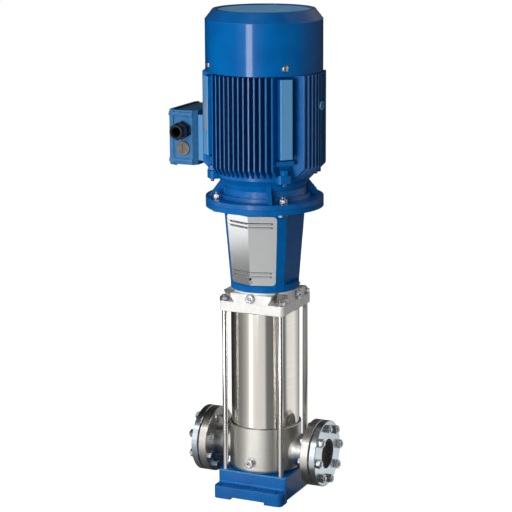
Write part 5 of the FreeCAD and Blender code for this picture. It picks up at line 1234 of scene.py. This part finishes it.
# %% Effect: studio bands
band_stops = ((-180, 0.18), (-150, 0.03), (-108, 0.03), (-92, 0.10), (-60, 0.24), (-44, 0.42),
              (-33, 0.66), (-28, 1.30), (-19, 1.30), (-14, 0.84), (0, 0.74), (22, 0.70), (28, 0.18),
              (66, 0.14), (92, 0.16), (102, 0.80), (134, 0.88), (150, 0.58), (168, 0.40), (180, 0.18))
studio_bands, given, result = new_group("studio_bands", {"Vector": None}, ("Level",))
parts = add_node(studio_bands, "ShaderNodeSeparateXYZ", {0: given["Vector"]}).outputs
compass = calc(studio_bands, "ARCTAN2", parts["X"], calc(studio_bands, "MULTIPLY", parts["Y"], -1.0))
share = calc(studio_bands, "MULTIPLY_ADD", compass, 1 / (2 * math.pi), 0.5)
bands = add_node(studio_bands, "ShaderNodeValToRGB", {"Fac": share})
brightest = max(level for degrees, level in band_stops)
stops = bands.color_ramp.elements
while len(stops) < len(band_stops):
    stops.new(0.5)
for stop, (degrees, level) in zip(stops, band_stops):
    stop.position = degrees / 360 + 0.5
    stop.color = (level / brightest, level / brightest, level / brightest, 1.0)
studio_bands.links.new(calc(studio_bands, "MULTIPLY", bands.outputs["Color"], brightest), result["Level"])
print("The studio has", len(band_stops), "bands")

# %% [markdown]
# The backdrop is a plain white floor. A camera ray should see pure white where no shadow falls, but
# the floor must not light the object more than paper would. So the floor is a matt surface that glows
# only for what the camera sees, and a mirror ray sees the bands of the studio on it instead. They are
# dim close to the object, which stands in its own shade, and a few metres away they end in the dark of
# the room, which is what the high parts of the motor mirror.

# %% Floor
floor_size = 30.0
paper_grey = (0.35, 0.35, 0.35, 1.0)
paper_glow = 0.94
shade_reach = (0.1, 0.42)
shade_level = 0.25
room_reach = (3.2, 4.2)
room_level = 0.12
white = (1.0, 1.0, 1.0, 1.0)
floor_mesh = bpy.data.meshes.new("floor")
floor_corners = np.array([(-1, -1, 0), (1, -1, 0), (1, 1, 0), (-1, 1, 0)], float) * floor_size
floor_mesh.from_pydata(floor_corners.tolist(), [], [(0, 1, 2, 3)])
floor = bpy.data.objects.new("floor", floor_mesh)
bpy.context.scene.collection.objects.link(floor)
floor_paint = bpy.data.materials.new("floor_paint")
floor_paint.use_nodes = True
tree = floor_paint.node_tree
tree.nodes.clear()
rays = add_node(tree, "ShaderNodeLightPath").outputs
for_camera = calc(tree, "MAXIMUM", rays["Is Camera Ray"], rays["Is Transmission Ray"])
matt = add_node(tree, "ShaderNodeBsdfDiffuse", {"Color": paper_grey}).outputs[0]
glow_strength = calc(tree, "MULTIPLY", for_camera, paper_glow)
glow = add_node(tree, "ShaderNodeEmission", {"Color": white, "Strength": glow_strength}).outputs[0]
paper = add_node(tree, "ShaderNodeAddShader", {0: matt, 1: glow}).outputs[0]
place = add_node(tree, "ShaderNodeTexCoord").outputs["Object"]
level = effect(tree, studio_bands, {"Vector": place})["Level"]
away = add_node(tree, "ShaderNodeVectorMath", {0: place}, operation="LENGTH").outputs["Value"]
close_fade = ramp(tree, away, *shade_reach, shade_level, 1.0)
strength = calc(tree, "MULTIPLY", close_fade, ramp(tree, away, *room_reach, 1.0, room_level))
mirrored = add_node(tree, "ShaderNodeEmission", {"Color": level, "Strength": strength}).outputs[0]
total = add_node(tree, "ShaderNodeMixShader", {0: rays["Is Glossy Ray"], 1: paper, 2: mirrored}).outputs[0]
add_node(tree, "ShaderNodeOutputMaterial", {"Surface": total})
floor_mesh.materials.append(floor_paint)
print("Floor is", 2 * floor_size, "m wide")

# %% [markdown]
# The world is white for the camera, shows the bands to mirror rays, and lights matt surfaces with a low
# plain level, so that the sides away from the lamps stay deep. Overhead the bands fade, as a ceiling
# would.

# %% World
plain_level = 0.20
ceiling_reach = (0.4, 0.8)
ceiling_level = 0.35
world = bpy.data.worlds.new("studio")
bpy.context.scene.world = world
world.use_nodes = True
tree = world.node_tree
tree.nodes.clear()
direction = add_node(tree, "ShaderNodeTexCoord").outputs["Generated"]
level = effect(tree, studio_bands, {"Vector": direction})["Level"]
rays = add_node(tree, "ShaderNodeLightPath").outputs
for_camera = calc(tree, "MAXIMUM", rays["Is Camera Ray"], rays["Is Transmission Ray"])
plain = calc(tree, "MULTIPLY_ADD", for_camera, 1.0 - plain_level, plain_level)
paper = add_node(tree, "ShaderNodeBackground", {"Color": white, "Strength": plain}).outputs[0]
height = add_node(tree, "ShaderNodeSeparateXYZ", {0: direction}).outputs["Z"]
overhead = ramp(tree, height, *ceiling_reach, 1.0, ceiling_level)
mirrored = add_node(tree, "ShaderNodeBackground", {"Color": level, "Strength": overhead}).outputs[0]
sky = add_node(tree, "ShaderNodeMixShader", {0: rays["Is Glossy Ray"], 1: paper, 2: mirrored}).outputs[0]
add_node(tree, "ShaderNodeOutputWorld", {"Surface": sky})
print("Matt surfaces get a plain level of", plain_level)

# %% [markdown]
# A large softbox in front gives the paint and the blasted casting their form; mirror rays don't see it,
# so that it leaves no broad glare. A tall strip in front of it makes the long highlight on the cowl. A
# small low strip on the left is what the upper part of the guard's left half mirrors, and a long thin one
# high up puts a bright line on rounded upper edges. Weak lamps on the left, on the right and behind keep
# those sides from going black. One large lamp would be simpler, but here each does one thing, and it can
# be moved without the others.

# %% Lamps
lamp_aim_z = 0.75


def softbox(name, azimuth, elevation, distance, width, height, power, mirrored=True):
    """Rectangular area lamp that looks at the middle of the object."""
    lamp = bpy.data.lights.new(name, "AREA")
    lamp.shape = "RECTANGLE"
    lamp.size = width
    lamp.size_y = height
    lamp.energy = power
    holder = bpy.data.objects.new(name, lamp)
    bpy.context.scene.collection.objects.link(holder)
    a, e = math.radians(azimuth), math.radians(elevation)
    away = Vector((math.sin(a) * math.cos(e), -math.cos(a) * math.cos(e), math.sin(e))) * distance
    holder.location = away + Vector((0, 0, lamp_aim_z))
    holder.rotation_euler = away.to_track_quat("Z", "Y").to_euler()
    holder.visible_glossy = mirrored
    print(name, "has", power, "W")


softbox("softbox_front", -4.0, 10.0, 3.6, 2.4, 2.4, 94.0, mirrored=False)
softbox("strip_front", -3.3, -1.5, 3.0, 0.60, 2.0, 26.0)
softbox("softbox_right", 80.0, 10.0, 3.6, 1.0, 2.0, 7.0, mirrored=False)
softbox("softbox_left", -64.0, -10.0, 3.1, 2.2, 0.5, 12.0, mirrored=False)
softbox("strip_left", -64.0, -10.8, 1.55, 1.1, 0.30, 1.5)
softbox("strip_high", -25.0, 32.0, 3.2, 3.6, 0.3, 13.0)
softbox("softbox_back", 195.0, 2.0, 3.6, 1.6, 2.2, 14.0, mirrored=False)
